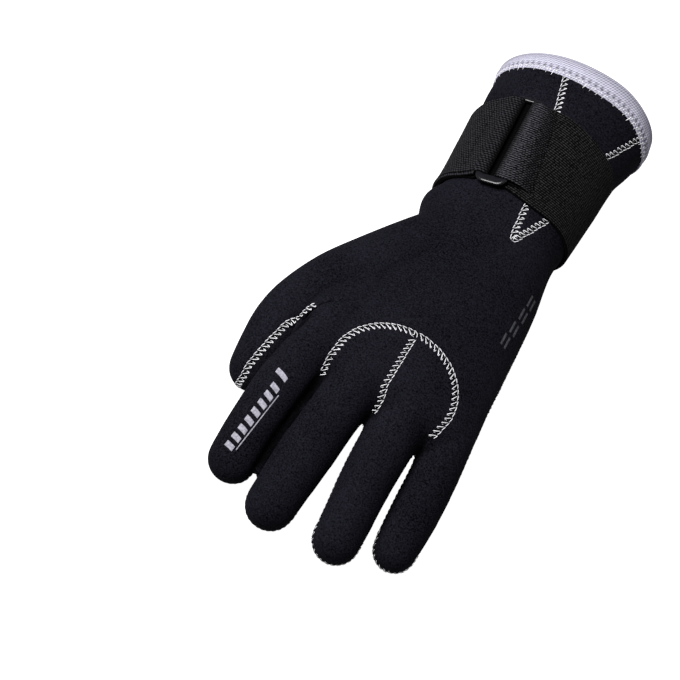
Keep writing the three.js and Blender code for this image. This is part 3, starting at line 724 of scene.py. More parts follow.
# %% Fields of the knuckle insets and the wedge
ARCH = {"x": -4.3, "y": -99.0, "half_width": 30.3, "height": 26.0, "scale": 28.5}  # scale: shares to mm
ARCH_FEET = np.array([  # y, then the inset's left and right borders below the arch
    [-99, -34.6, 26.0], [-102.5, -34.9, 25.3], [-105.6, -34.7, 24.6], [-108.5, -34.0, 23.7],
    [-112, -33.2, 22.6], [-118, -32.9, 21.9],
])
CENTRE_SEAM_X = -7.2
WEDGE = np.array([  # x and y of its outline, from its point round by the thumb's side
    [8.5, 2.5], [6, 25], [-5, 79], [-10, 97], [-13.5, 124], [42, 124], [36.6, 97], [27.2, 76], [18.2, 25],
])


def arch_field(x, y):
    """Millimetres inside the arch: an ellipse above its base line, the two feet's borders under it."""
    right = (x - ARCH["x"]) / ARCH["half_width"]
    up = np.maximum(y - ARCH["y"], 0) / ARCH["height"]
    left, opposite = (np.interp(y, ARCH_FEET[::-1, 0], ARCH_FEET[::-1, k]) for k in (1, 2))
    return np.where(up > 0, (1 - np.hypot(right, up)) * ARCH["scale"], np.minimum(x - left, opposite - x))


def outline_field(x, y, outline):
    """Distance to the nearest side of an outline, positive inside it, where the crossings are odd."""
    best, inside = np.full(len(x), 1e9), np.zeros(len(x), bool)
    for (x1, y1), (x2, y2) in zip(outline, np.roll(outline, -1, axis=0)):
        run_x, run_y = x2 - x1, y2 - y1
        along = np.clip(((x - x1) * run_x + (y - y1) * run_y) / (run_x**2 + run_y**2), 0, 1)
        best = np.minimum(best, np.hypot(x - x1 - along * run_x, y - y1 - along * run_y))
        crosses = (y1 > y) != (y2 > y)
        with np.errstate(divide="ignore", invalid="ignore"):
            inside ^= crosses & (x < x1 + (y - y1) * run_x / run_y)
    return np.where(inside, best, -best)


def between(one, other):
    """Millimetres between two digits, positive on the other's side."""
    return (share_of[one] - share_of[other]) * DIGIT_RADIUS


x, y = points[:, 0], points[:, 1]
on_fingers = smoothstep(-108, -114, y)
centre_field = (CENTRE_SEAM_X - x) * smoothstep(-112, -102, y)
centre_field = centre_field + between("ring", "middle") * smoothstep(-102, -112, y)
between_fingers = np.minimum(between("index", "middle"), between("little", "ring"))
inset_field = (1 - on_fingers) * arch_field(x, y) + on_fingers * between_fingers
# the insets end 40 mm from the seam between them, which keeps the other digits out
off_centre = np.abs(centre_field)
inset_field = np.where(off_centre > 14, np.minimum(inset_field, 40 - off_centre), inset_field)
middle_field = np.minimum(inset_field, centre_field)
ring_field = np.minimum(inset_field, -centre_field)
wedge_field = outline_field(x, y, WEDGE)
mouth_field = SHEET_END - (y - mouth_rise(y, x - HAND[0, 1]))
on_back = side_field > 0
insets = {"middle": middle_field, "ring": ring_field, "wedge": wedge_field}
print("points inside:", {name: int((field > 0)[on_back].sum()) for name, field in insets.items()})

# %% [markdown]
# A sewn seam pulls the sheet in, so the skin sinks by 0.4 mm along each seam before it is cut. The valleys
# get little light, so each point also gets a painted shade that darkens the knit: how far it lies under a
# much smoother skin, and how near it lies to the groove beside the thumb.

# %% Sink the seams
SEAM_SINK, SEAM_REACH = 0.42, 1.3
seam_distance = np.abs(side_field)
for field in insets.values():
    seam_distance = np.where(on_back, np.minimum(seam_distance, np.abs(field)), seam_distance)
# painted shade: darker the deeper a point lies in a valley, and darkest along the groove by the thumb
flat = relaxed(points, edges, 60)
hollow = ((flat - points) * skin_normals).sum(1)
gap = bell(groove_distance, 3.8) * smoothstep(0.0, 0.3, groove_share)
skin_shade = np.maximum(0.85 * smoothstep(-0.2, 1.7, hollow), 0.95 * gap)
points = points - skin_normals * (SEAM_SINK * bell(seam_distance, SEAM_REACH) + sunk)[:, None]
points = points + np.clip(sunk / 1.5, 0, 1)[:, None] * (relaxed(points, edges, 6) - points)
points[:, 2] = np.maximum(points[:, 2], 0.02)

# %% [markdown]
# Cutting works on whole arrays. A triangle with corners on both sides of zero has one lone corner. Its two
# cut edges get a new point each, worked out once per edge, and the triangle becomes one on the lone corner's
# side and two on the other.

# %% Cut the skin along a field


def cut(columns, triangles, field):
    """Splits a skin where the numbered column is zero. Columns are x, y, z and the fields. Returns the
    columns with the new points added, the triangles on the positive side, those on the negative side, and the
    seam's edges."""
    value = columns[:, field]
    above = value > 0
    count = above[triangles].sum(1)
    keep, drop = triangles[count == 3], triangles[count == 0]
    split = triangles[(count == 1) | (count == 2)]
    lone_is_above = above[split].sum(1) == 1
    lone = np.argmax(above[split] == lone_is_above[:, None], axis=1)
    turn = (lone[:, None] + np.arange(3)) % 3
    a, b, c = np.take_along_axis(split, turn, 1).T
    pairs = np.sort(np.concatenate([np.stack([a, b], 1), np.stack([a, c], 1)]), axis=1)
    pairs, number = np.unique(pairs, axis=0, return_inverse=True)
    number = number.ravel() + len(columns)
    ab, ac = number[: len(a)], number[len(a):]
    t = value[pairs[:, 0]] / (value[pairs[:, 0]] - value[pairs[:, 1]])
    new = columns[pairs[:, 0]] + t[:, None] * (columns[pairs[:, 1]] - columns[pairs[:, 0]])
    new[:, field] = 0
    tips = np.stack([a, ab, ac], 1)
    rest = np.concatenate([np.stack([ab, b, c], 1), np.stack([ab, c, ac], 1)])
    both = np.concatenate([lone_is_above, lone_is_above])
    positive = np.concatenate([keep, tips[lone_is_above], rest[~both]])
    negative = np.concatenate([drop, tips[~lone_is_above], rest[both]])
    return np.concatenate([columns, new]), positive, negative, np.stack([ab, ac], 1)


SIDE, MIDDLE, RING, WEDGE_SIDE, MOUTH, SHADE = 3, 4, 5, 6, 7, 8
columns = np.column_stack([points, side_field, middle_field, ring_field, wedge_field, mouth_field,
                           skin_shade])
columns, shell, _, _ = cut(columns, triangles, MOUTH)
columns, back, palm, side_seam = cut(columns, shell, SIDE)
columns, middle_panel, back, middle_seam = cut(columns, back, MIDDLE)
columns, ring_panel, back, ring_seam = cut(columns, back, RING)
columns, wedge, back, wedge_seam = cut(columns, back, WEDGE_SIDE)
whole_normals = point_normals(columns[:, :3], np.concatenate([back, palm, middle_panel, ring_panel, wedge]))
print("triangles:", len(back), len(palm), len(middle_panel), len(ring_panel), len(wedge))

# %% [markdown]
# Panels
#
# Each panel becomes a piece. Solidify gives it the 3 mm of the sheet, inwards, so the glove stays hollow and
# its lining shows inside the cuff.

# %% Panels of sheet neoprene
SHEET = 3.0


def largest_part(triangles):
    """The triangles of the biggest connected part: labels spread along edges until they settle."""
    used, local = np.unique(triangles, return_inverse=True)
    local = local.reshape(triangles.shape)
    label = np.arange(len(used))
    while True:
        low = label[local].min(1)
        new = label.copy()
        np.minimum.at(new, local.ravel(), np.repeat(low, 3))
        new = new[new]
        if (new == label).all():
            break
        label = new
    names, sizes = np.unique(label[local[:, 0]], return_counts=True)
    return triangles[label[local[:, 0]] == names[sizes.argmax()]]


def panel(name, triangles, material, slot):
    """One piece of the skin as a sheet: its own mesh, its painted shade and its thickness."""
    triangles = largest_part(triangles)
    used, faces = np.unique(triangles, return_inverse=True)
    piece = new_piece(name, columns[used, :3], faces.reshape(-1, 3), material, slot, closed=False)
    add_shade(piece, columns[used, SHADE])
    wall = piece.modifiers.new("sheet", "SOLIDIFY")
    wall.thickness, wall.offset = SHEET / 1000, -1
    wall.use_quality_normals = True
    return piece


for name, part, material, slot, node in [
    ("back", back, neoprene, "neoprene", "back_panel"),
    ("palm", palm, palm_knit, "palm_fabric", "palm_panel"),
    ("middle_finger", middle_panel, neoprene, "neoprene", "middle_finger_panel"),
    ("ring_finger", ring_panel, neoprene, "neoprene", "ring_finger_panel"),
    ("cuff_wedge", wedge, neoprene, "neoprene", "cuff_gusset"),
]:
    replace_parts(panel(name, part, material, slot), node)

# %% [markdown]
# White seams
#
# The panels are joined by a flat seam, a machine stitch whose threads lie over the butted edges like a rope:
# long slanted strokes across the joint, and a row of short loops along one side. The stitches must follow the
# cut lines, so the loose cut edges are first walked into chains.

# %% Chains along the cut lines
SHORTEST_CHAIN = 14.0


def chain_length(chain):
    """How long a chain is, in millimetres."""
    return run_along(chain[:, :3])[-1]


def softened(line, rounds):
    """Each round moves every point but the ends halfway to its neighbours' mean."""
    for _ in range(rounds):
        line[1:-1] = 0.5 * line[1:-1] + 0.25 * (line[:-2] + line[2:])
    return line


def chains(segments):
    """Polylines from loose segments, walked from end to end and softened, without the short ones: a list of
    arrays with a point and a normal in each row."""
    near = {}
    for a, b in segments.tolist():
        near.setdefault(a, []).append(b)
        near.setdefault(b, []).append(a)
    starts = [point for point, ends in near.items() if len(ends) == 1] + list(near)
    seen, found = set(), []
    for start in starts:
        if start in seen:
            continue
        line = [start]
        seen.add(start)
        while True:
            step = [point for point in near[line[-1]] if point not in seen]
            if not step:
                break
            line.append(step[0])
            seen.add(step[0])
        if len(line) > 3 and start in near[line[-1]]:
            line.append(start)
        chain = softened(np.concatenate([columns[line, :3], whole_normals[line]], 1), 12)
        if chain_length(chain) > SHORTEST_CHAIN:
            found.append(chain)
    return found


def started(chain, axis):
    """The chain walked from the end that is lower on an axis, so its rope lies on a known side."""
    return chain if chain[0, axis] < chain[-1, axis] else chain[::-1]


def along_chain(chain, distances):
    """Points, directions, normals and side directions of a chain at distances along it."""
    length = run_along(chain[:, :3])

    def at(distance):
        return np.stack([np.interp(distance, length, chain[:, k]) for k in range(6)], -1)

    here = at(distances)
    along = unit((at(np.minimum(distances + 0.6, length[-1])) - at(np.maximum(distances - 0.6, 0)))[..., :3])
    normal = unit(here[..., 3:] - along * (here[..., 3:] * along).sum(-1, keepdims=True))
    return here[..., :3], along, normal, np.cross(normal, along)


def surface_tree(triangles):
    """A search tree over triangles of the skin, their points' numbers and their faces over these."""
    used, faces = np.unique(triangles, return_inverse=True)
    faces = faces.reshape(-1, 3)
    return BVHTree.FromPolygons(columns[used, :3].tolist(), faces.tolist()), used, faces


FAR = 999
THUMB_ZONES = [  # low and high corners of the boxes where the thumb's seam gets a chain of its own
    ((-FAR, -112, 8), (-38, -68, FAR)), ((-62, -124, -FAR), (-50, -111, FAR)),
]


def shown(segments):
    """The segments that keep their stitches: not those by the thumb's path, which has its own chain."""
    middle = columns[segments, :3].mean(1)
    near = np.any([((middle > low) & (middle < high)).all(1) for low, high in THUMB_ZONES], axis=0)
    thumb_x = np.interp(middle[:, 1], THUMB_PATH[::-1, 1], THUMB_PATH[::-1, 0])
    return segments[~(near & (middle[:, 0] > thumb_x - 4))]


def guided_chain(line):
    """A chain along a broken line: evenly spaced places, softened, dropped onto the nearest skin."""
    length = run_along(line)
    places = np.stack([np.interp(np.arange(0, length[-1], 0.5), length, line[:, k]) for k in range(3)], -1)
    tree, used, _ = surface_tree(np.concatenate([back, palm]))
    found = []
    for place in places:
        spot = np.array(tree.find_nearest(Vector(place))[0])
        found.append([*spot, *whole_normals[used[np.linalg.norm(columns[used, :3] - spot, axis=1).argmin()]]])
    return softened(np.array(found), 30)


def beyond_foot(segments):
    """Where the inset seams dip out of sight into the valleys between the fingers."""
    middle = columns[segments, :3].mean(1)
    return middle[:, 1] < np.select([middle[:, 0] > 12, middle[:, 0] < -25], [-108.2, -109.6], -112.5)


def at_centre(segments):
    """Where a segment lies on the seam between the two finger insets."""
    return np.abs(columns[segments, MIDDLE]).max(1) < 0.3


def continued(chain, others):
    """The chain with the other that starts or ends nearest to its end. That one leaves the others."""
    _, k, end = min((np.linalg.norm(other[end, :3] - chain[-1, :3]), k, end)
                    for k, other in enumerate(others) for end in (0, -1))
    other = others.pop(k)
    return np.concatenate([chain, other if end == 0 else other[::-1]])


JUNCTION = np.array([-7.6, -75.5])  # where the arch and the seam between the insets meet


def from_junction(chain):
    """A chain split where it passes the junction. Its rope lies on the right: the left arch is walked from
    the junction, the other parts towards it."""
    near = np.hypot(*(chain[:, :2] - JUNCTION).T).argmin()
    parts = [part for part in (chain[: near + 1], chain[near:][::-1]) if len(part) > 20]
    return [part[::-1] if part[0, 0] < -20 else part for part in parts]


side_chains = [started(chain, 1) for chain in chains(shown(side_seam))]
side_chains.append(continued(guided_chain(THUMB_PATH[1:]), side_chains))
inset_seams = [
    middle_seam[~beyond_foot(middle_seam)],
    ring_seam[~beyond_foot(ring_seam) & ~at_centre(ring_seam)],
]
inset_chains = [part for seam in inset_seams for chain in chains(seam) for part in from_junction(chain)]
wedge_chains = [started(chain, 0) for chain in chains(wedge_seam)]
seams = {"side_stitches": side_chains, "knuckle_stitches": inset_chains, "wedge_stitches": wedge_chains}
print("mm of seam:", {name: [round(chain_length(chain)) for chain in found] for name, found in seams.items()})

# %% [markdown]
# One stroke of thread is a bent capsule of five small rings and two tips. All strokes of a piece are made at
# once: their middle lines are one array, and the rings are set round them.

# %% Strokes of thread


def strokes(paths, normals, radius, flatness=0.8, sides=6):
    """Bent capsules. paths and normals are (strokes, steps, 3). The radius swells and closes along each
    stroke as (1 - |2t - 1|^3)^(1/2), and flatness squeezes the height. Returns points and triangles."""
    number, steps = paths.shape[:2]
    along = unit(np.gradient(paths, axis=1))
    aside = unit(np.cross(normals, along))
    over = np.cross(along, aside)
    t = np.linspace(0, 1, steps)[1:-1]
    girth = radius * np.sqrt(1 - np.abs(2 * t - 1) ** 3)[None, :, None, None]
    turn = np.linspace(0, 2 * np.pi, sides, endpoint=False)
    aside, over = aside[:, 1:-1, None], over[:, 1:-1, None]
    ring = np.cos(turn)[:, None] * aside + flatness * np.sin(turn)[:, None] * over
    rings = (paths[:, 1:-1, None] + girth * ring).reshape(number, -1, 3)
    points = np.concatenate([paths[:, :1], rings, paths[:, -1:]], 1)
    side, end = np.arange(sides), 1 + (steps - 2) * sides
    first, last = fan(0, 1 + side)[:, [0, 2, 1]], fan(end, end - sides + side)
    one = np.concatenate([halved(grid_faces(steps - 2, sides, wrap_columns=True, start=1)), first, last])
    return points.reshape(-1, 3), repeated(one, number, points.shape[1])


def joined(parts):
    """Several (points, faces) as one."""
    start = np.cumsum([0] + [len(points) for points, _ in parts])
    return np.concatenate([p for p, _ in parts]), np.concatenate([f + s for (_, f), s in zip(parts, start)])


STITCH_PITCH, THREAD = 2.6, 0.215
LOOP = np.array([  # millimetres along, to the right of and over the seam: out to the needle hole and back
    [2.1, 1.45, 0.3], [1.45, 0.65, 0.5], [0.8, -0.2, 0.5], [0.2, -1.0, 0.4], [-0.15, -1.5, 0.25],
    [-0.5, -1.45, 0.1], [-0.5, -0.9, 0.05], [-0.3, -0.3, 0.0], [-0.1, 0.2, -0.1],
])
ROPE = np.array([[-0.6, 1.15, 0.2], [0.15, 1.28, 0.45], [0.9, 1.4, 0.5], [1.65, 1.52, 0.45],
                 [2.4, 1.65, 0.2]])


def flat_seam(chain):
    """The stitches of one seam: from a rope of short strokes on the right, loops of thread slant back over
    the joint to the needle holes on the left."""
    distances = np.arange(0.8, chain_length(chain) - 1.2, STITCH_PITCH)
    wander = 0.12 * np.sin(distances * 1.7) + 0.08 * np.sin(distances * 4.1 + 1)

    def path(shape):
        s = np.clip(distances[:, None] + shape[:, 0], 0, chain_length(chain))
        place, _, normal, aside = along_chain(chain, s)
        return place - aside * (shape[:, 1] + wander[:, None])[..., None] + normal * shape[:, 2:], normal

    return joined([strokes(*path(LOOP), THREAD), strokes(*path(ROPE), 0.9 * THREAD)])


def thread_material():
    """Matt white cotton-like thread with a fine twist in its relief."""
    material, tree, shader, coordinates = start_material("white_thread",
                                                         {"Roughness": 0.85, "Sheen Weight": 0.2})
    fibre, slow = (noise_node(tree, coordinates["Object"], scale, 2.0) for scale in (2500, 120))
    mottle = mixed(tree, fibre, slow, 0.4)
    colour = ramp_node(tree, mottle, (0.42, 0.42, 0.44), (0.78, 0.78, 0.8), 0.3, 0.7)
    tree.links.new(colour, shader.inputs["Base Color"])
    tree.links.new(bump_node(tree, fibre, 0.00015), shader.inputs["Normal"])
    return material


thread = thread_material()
for name, found in seams.items():
    points, faces = joined([flat_seam(chain) for chain in found])
    new_piece(name, points, faces, thread, "binding_tape")

# %% [markdown]
# Grip dots
#
# The palm and the fronts of the fingers carry small pale dots of grip print in staggered rows. Each is a low
# dome. The rows are laid out in plan and each dot is dropped onto the palm from below, so the palm's own
# surface says where it sits.

# %% Dots on the palm
DOT_PITCH, DOT_RADIUS, DOT_HEIGHT = 1.9, 0.44, 0.2
DOTS_X, DOTS_Y, DOTS_OFF_SEAM = (-82, 52), (-178, 6), 5.0
palm_tree, palm_used, palm_faces = surface_tree(palm)


def dot_places():
    """Staggered rows in plan, kept where the palm faces down and is far enough from a seam."""
    found = []
    for row, y in enumerate(np.arange(*DOTS_Y, DOT_PITCH * 0.866)):
        for x in np.arange(*DOTS_X, DOT_PITCH) + (row % 2) * DOT_PITCH / 2:
            place, normal, face, _ = palm_tree.ray_cast(Vector((x, y, -5)), Vector((0, 0, 1)))
            if place is None or abs(normal.z) < 0.5:
                continue
            if columns[palm_used[palm_faces[face]], SIDE].max() > -DOTS_OFF_SEAM:
                continue
            found.append([*place, *(-normal if normal.z > 0 else normal)])
    return np.array(found)


def domes(places, normals, radius, height, sides=6):
    """Low domes: a ring sunk in at the base, a smaller one at 0.8 of the height, and a top."""
    aside = unit(np.cross(normals, [0.0, 1.0, 0.0]))
    ahead = np.cross(normals, aside)
    turn = np.linspace(0, 2 * np.pi, sides, endpoint=False)
    circle = np.cos(turn)[:, None] * aside[:, None] + np.sin(turn)[:, None] * ahead[:, None]
    base = places[:, None] + radius * circle - 0.15 * normals[:, None]
    upper = places[:, None] + 0.7 * radius * circle + 0.8 * height * normals[:, None]
    top = places + height * normals
    points = np.concatenate([base, upper, top[:, None]], 1)
    cap = fan(2 * sides, sides + np.arange(sides))
    one = np.concatenate([halved(grid_faces(2, sides, wrap_columns=True)), cap])
    return points.reshape(-1, 3), repeated(one, len(places), points.shape[1])


dots = dot_places()
dot_material = mottled_material("grip_print", (0.16, 0.16, 0.17), (0.3, 0.3, 0.32), 400, 0.3, 0.7,
                                {"Roughness": 0.55}, detail=2.0)
dot_points, dot_faces = domes(dots[:, :3], dots[:, 3:], DOT_RADIUS, DOT_HEIGHT)
new_piece("grip_dots", dot_points, dot_faces, dot_material, "palm_fabric", closed=False)

# %% [markdown]
# Binding tape
#
# The mouth is bound with a silver-white stretch tape, folded over the edge and held by a zigzag stitch. The
# tape is a closed profile carried round the mouth: a rounded fold in the middle, an outer leaf and an inner
# leaf. The stitching pulls a row of dimples into the outer leaf and puckers its border.

# %% The tape round the mouth
FOLD_Y, FOLD_MIDDLE, FOLD_LENGTH, FOLD_HEIGHT = 106.2, -1.5, 1.7, 2.8
OUTER_LEAF, INNER_LEAF_END = 0.75, CUFF_EDGE - 9  # the outer leaf's height, the inner leaf's last y
OUTER_STEPS, TAPE_COLUMNS = 26, 420
ZIGZAGS, DIMPLE_Y = 74, TAPE_EDGE + 3.3


def tape_profile():
    """y and height of the points round the tape's section: its outer leaf, the fold, its inner leaf and back
    between the leaves, round the sheet's edge."""
    outer = np.linspace(TAPE_EDGE, FOLD_Y, OUTER_STEPS)[1:]
    rise = OUTER_LEAF + (FOLD_MIDDLE + FOLD_HEIGHT - OUTER_LEAF) * smoothstep(TAPE_EDGE, TAPE_EDGE + 7, outer)
    turn = np.linspace(np.pi / 2, -np.pi / 2, 19)[1:-1]
    fold_y, fold_height = FOLD_Y + FOLD_LENGTH * np.cos(turn), FOLD_MIDDLE + FOLD_HEIGHT * np.sin(turn)
    inner = np.linspace(FOLD_Y, INNER_LEAF_END, 10)
    y = np.concatenate([
        [TAPE_EDGE - 0.15, TAPE_EDGE], outer, fold_y, inner,
        [INNER_LEAF_END, FOLD_Y, FOLD_Y + 0.8, FOLD_Y, TAPE_EDGE],
    ])
    height = np.concatenate([
        [0.3, 0.6], rise, fold_height, np.full(len(inner), FOLD_MIDDLE - FOLD_HEIGHT),
        [-3.2, -3.2, -1.5, 0.15, 0.15],
    ])
    return y, height


tape_y, tape_height = tape_profile()
tape_turn = np.linspace(0, 2 * np.pi, TAPE_COLUMNS, endpoint=False)
round_mouth = run_along(hand_point(104, np.append(tape_turn, 2 * np.pi)))
pucker = np.cos(tape_turn * ZIGZAGS)


def border_rise(turn, y):
    """The tape is narrower by 1.5 mm round 55 degrees: its border rises there, its fold doesn't."""
    return 1.5 * bell(turn - 0.96, 0.42) * smoothstep(TAPE_EDGE + 8, TAPE_EDGE, y)


outer_face = (tape_y < TAPE_EDGE + 7.5) & (tape_height > 0.5)
on_border = bell(tape_y - TAPE_EDGE - 0.8, 1.6) * outer_face
dimple_turn = (tape_turn * ZIGZAGS / (2 * np.pi) + 0.5) % 1 - 0.5  # 0 in the middle of each dimple
dimple = bell(dimple_turn, 0.26)[None, :] * bell(tape_y - DIMPLE_Y, 1.15)[:, None]
height = tape_height[:, None] + 0.12 * on_border[:, None] * pucker - 0.75 * dimple * outer_face[:, None]
uneven = outer_face * np.sin(np.pi * np.clip((tape_y - 98) / 9, 0, 1))
height = height + 0.14 * uneven[:, None] * np.sin(tape_turn * 23) * np.sin(tape_turn * 7 + 1)
frill = bell(tape_y - TAPE_EDGE, 0.8) * outer_face
border = tape_y[:, None] + border_rise(tape_turn, tape_y[:, None]) + 0.22 * frill[:, None] * pucker
tape_points = hand_point(border, np.broadcast_to(tape_turn, height.shape), height)
tape_points[..., 2] = np.maximum(tape_points[..., 2], 0.02)
tape_faces = grid_faces(len(tape_y), TAPE_COLUMNS, wrap_rows=True, wrap_columns=True)
print("the mouth is", round_mouth[-1].round(), "mm round")


def add_uv(piece, u, v):
    """A UV map from u and v at the grid's points, in metres. Where u wraps round, it goes on past the end."""
    mesh = piece.data
    corner = np.zeros(len(mesh.loops), int)
    mesh.loops.foreach_get("vertex_index", corner)
    u, v = (values.ravel() for values in np.broadcast_arrays(u, v))
    steps = np.unique(u.round(9))
    span, last_step = np.ptp(steps), steps[-1] - steps[-2]
    uv = np.stack([u[corner], v[corner]], -1).reshape(len(mesh.polygons), -1, 2)
    behind = uv[..., :1].max(1, keepdims=True) - uv[..., :1] > span / 2
    uv[..., :1] += np.where(behind, span + last_step, 0)
    layer = mesh.uv_layers.new(name="weave")
    layer.data.foreach_set("uv", uv.astype(np.float32).ravel())


def wave(tree, value, pitch):
    """(1 + sin(2 pi value / pitch)) / 2."""
    turned = math_node(tree, "MULTIPLY", value, 2 * math.pi / pitch)
    return math_node(tree, "MULTIPLY_ADD", math_node(tree, "SINE", turned), 0.5, 0.5)


def woven_material(name, dark, light, run_pitch, cross_pitch, twill, relief, roughness=0.8, mix=0.5,
                   speckle=0.3, fade=None, span=(0.25, 0.72)):
    """Woven band: ribs along its run every run_pitch and threads across every cross_pitch, in metres. twill
    shifts the threads from rib to rib, which makes the diagonal lines. fade is the run over which a painted
    shade at the band's dark end lightens, in metres, and span the part of the tone over which the colour goes
    from dark to light."""
    material, tree, shader, coordinates = start_material(name, {
        "Roughness": roughness, "Specular IOR Level": 0.03, "Sheen Weight": 0.01,
    })
    run, across, _ = separated(tree, coordinates["UV"])
    slanted_run = math_node(tree, "MULTIPLY_ADD", across, twill, run)
    weave = mixed(tree, wave(tree, across, run_pitch), wave(tree, slanted_run, cross_pitch), mix)
    tone = mixed(tree, noise_node(tree, coordinates["Object"], 1100, 1.0), weave, speckle)
    shade = tone
    # painted shade: the tone starts at 0.7 where the run is 0 and rises to full over fade
    if fade:
        lit = math_node(tree, "MINIMUM", math_node(tree, "MULTIPLY", run, 1 / fade), 1.0)
        shade = math_node(tree, "MULTIPLY", tone, math_node(tree, "MULTIPLY_ADD", lit, 0.3, 0.7))
    tree.links.new(shaded(tree, ramp_node(tree, shade, dark, light, *span)), shader.inputs["Base Color"])
    tree.links.new(bump_node(tree, tone, relief), shader.inputs["Normal"])
    return material


tape_weave = woven_material("silver_tape", (0.185, 0.18, 0.225), (0.465, 0.455, 0.55), 0.0013, 0.0013, 0.6,
                            0.00012, roughness=0.7)
tape_piece = new_piece("binding_tape", tape_points.reshape(-1, 3), tape_faces, tape_weave, "binding_tape")
tape_run = run_along(np.stack([tape_y, tape_height], -1))
add_uv(tape_piece, round_mouth[:-1] / 1000, tape_run[:, None] / 1000)
# painted shade: darker towards the fold, in the dimples and in the troughs of the puckered border
fold_shade = 0.34 * smoothstep(TAPE_EDGE + 4, FOLD_Y + 1, tape_y) * (tape_height > FOLD_MIDDLE)
hollow_shade = 0.7 * dimple * outer_face[:, None] + 0.12 * on_border[:, None] * (1 - pucker)
add_shade(tape_piece, hollow_shade + fold_shade[:, None])
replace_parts(tape_piece, "cuff_binding")

# %% [markdown]
# A zigzag holds the tape near its lower border. Each stitch pulls a dimple with needle holes into the tape.
# From there one thread goes down to the border and another over it, onto the black sheet, as a small white
# nib.

# %% The tape's zigzag


def on_tape(turn, y, lift):
    """A point over the tape's outer leaf and its normal, found by moving the section's offset."""
    leaf = slice(1, OUTER_STEPS + 1)
    base = np.interp(y, tape_y[leaf], tape_height[leaf]) * (y > TAPE_EDGE) + 0.1 * (y <= TAPE_EDGE)
    y = y + border_rise(turn, y)
    point = hand_point(y, turn, base + lift)
    return point, unit(point - hand_point(y, turn, base + lift - 1))


def tape_strokes(turn_from, turn_to, y_from, y_to, lift, bow, radius):
    """Straight strokes over the tape from one turn and y to another, bowed up in the middle."""
    t = np.linspace(0, 1, 5)
    turn = turn_from[:, None] + (turn_to - turn_from)[:, None] * t
    y = y_from + (np.reshape(y_to, (-1, 1)) - y_from) * t
    point, normal = on_tape(turn, np.broadcast_to(y, turn.shape), lift + bow * np.sin(np.pi * t))
    return strokes(point, normal, radius, 0.7)


step = 2 * np.pi / ZIGZAGS
holes = np.arange(ZIGZAGS) * step
ragged = 0.5 * np.sin(np.arange(ZIGZAGS) * 2.4) + 0.4 * np.sin(np.arange(ZIGZAGS) * 5.3)
zigzag = joined([
    tape_strokes(holes + step * 0.1, holes + step * 0.5, DIMPLE_Y - 0.9, TAPE_EDGE - 0.9 - ragged,
                 -0.1, 0.2, 0.2),
    tape_strokes(holes - step * 0.1, holes - step * 0.14, DIMPLE_Y - 1.0, TAPE_EDGE + 0.3, -0.14, 0.16, 0.2),
])
new_piece("tape_stitches", *zigzag, thread, "binding_tape")
hole_turn = np.concatenate([holes + step * 0.1, holes - step * 0.14])
hole_y = np.concatenate([np.full(ZIGZAGS, DIMPLE_Y + 0.2), np.full(ZIGZAGS, DIMPLE_Y - 0.5)])
place, out = on_tape(hole_turn, hole_y, -0.68)
hole_material = start_material("needle_hole", {"Base Color": (0.07, 0.065, 0.08, 1), "Roughness": 1.0})[0]
new_piece("needle_holes", *domes(place, out, 0.34, 0.05), hole_material, "binding_tape", closed=False)

# %% [markdown]
# Wrist strap
#
# The strap is a 49.5 mm elastic, knitted in ribs that run round the wrist. The ribs are real relief here: the
# band's profile has a small bump for each. Over the middle of the back the upper selvedge bows up by 2 mm,
# and under the webbing on the thumb's side it dips by 3.2 mm. Beside the ring the lower one sags by 2.2 mm.

# %% Elastic band
# STRAP_OUT and STRAP_IN are the heights of the band's faces off the neoprene
STRAP_LOW, STRAP_HIGH, STRAP_OUT, STRAP_IN, STRAP_ROUND = 25.5, 75.0, 1.9, 0.2, 0.5
RIB_PITCH, BAND_COLUMNS = 1.1, 200


def band_profile():
    """y and height round the band's section: rounded edges, and ribs of 0.2 mm on the outer face."""
    high, low = STRAP_HIGH - STRAP_ROUND, STRAP_LOW + STRAP_ROUND
    y = np.linspace(low, high, 240)
    rib = 0.2 * np.abs(np.sin(np.pi * (y - STRAP_LOW) / RIB_PITCH)) ** 0.7
    turn = np.linspace(np.pi / 2, -np.pi / 2, 7)[1:-1]
    edge = STRAP_ROUND * np.cos(turn)
    edge_height = (STRAP_OUT + STRAP_IN) / 2 + (STRAP_OUT - STRAP_IN) / 2 * np.sin(turn)
    return (np.concatenate([y, high + edge, [high, 52, low], low - edge[::-1]]),
            np.concatenate([STRAP_OUT - 0.15 + rib, edge_height, np.full(3, STRAP_IN), edge_height[::-1]]))


band_y, band_height = band_profile()
band_turn = np.linspace(0, 2 * np.pi, BAND_COLUMNS, endpoint=False)
bow = 2.0 * bell(np.cos(band_turn), 0.4) * smoothstep(0.0, 0.6, np.sin(band_turn))
bow = bow - 3.2 * bell(band_turn - np.pi, 0.7)
sag = 2.2 * bell(band_turn - 1.4, 0.45)
upper, lower = smoothstep(STRAP_LOW, STRAP_HIGH, band_y), smoothstep(STRAP_HIGH, STRAP_LOW, band_y)
band_rise = upper[:, None] * bow - lower[:, None] * sag
band_points = hand_point(band_y[:, None] + band_rise, band_turn[None, :], band_height[:, None])
band_faces = grid_faces(len(band_y), BAND_COLUMNS, wrap_rows=True, wrap_columns=True)
elastic = woven_material("ribbed_elastic", (0.0, 0.0, 0.0), (0.024, 0.0225, 0.023), 0.0011, 0.0015, 0.35,
                         0.0003, mix=0.68, speckle=0.55, span=(0.5, 0.74))
band = new_piece("elastic_strap", band_points.reshape(-1, 3), band_faces, elastic, "elastic")
add_uv(band, run_along(hand_point(52, band_turn)) / 1000,
       (band_y[:, None] - STRAP_LOW - RIB_PITCH / 4) / 1000)
# painted shade: the band is darkened under the ring and its loops, 6.5 mm to each side of x = -16.5
under_ring = np.exp(-(((band_points[..., 0] + 16.5) / 6.5) ** 4)) * (band_points[..., 2] > 40)
add_shade(band, 0.97 * under_ring)
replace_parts(band, "wrist_strap")

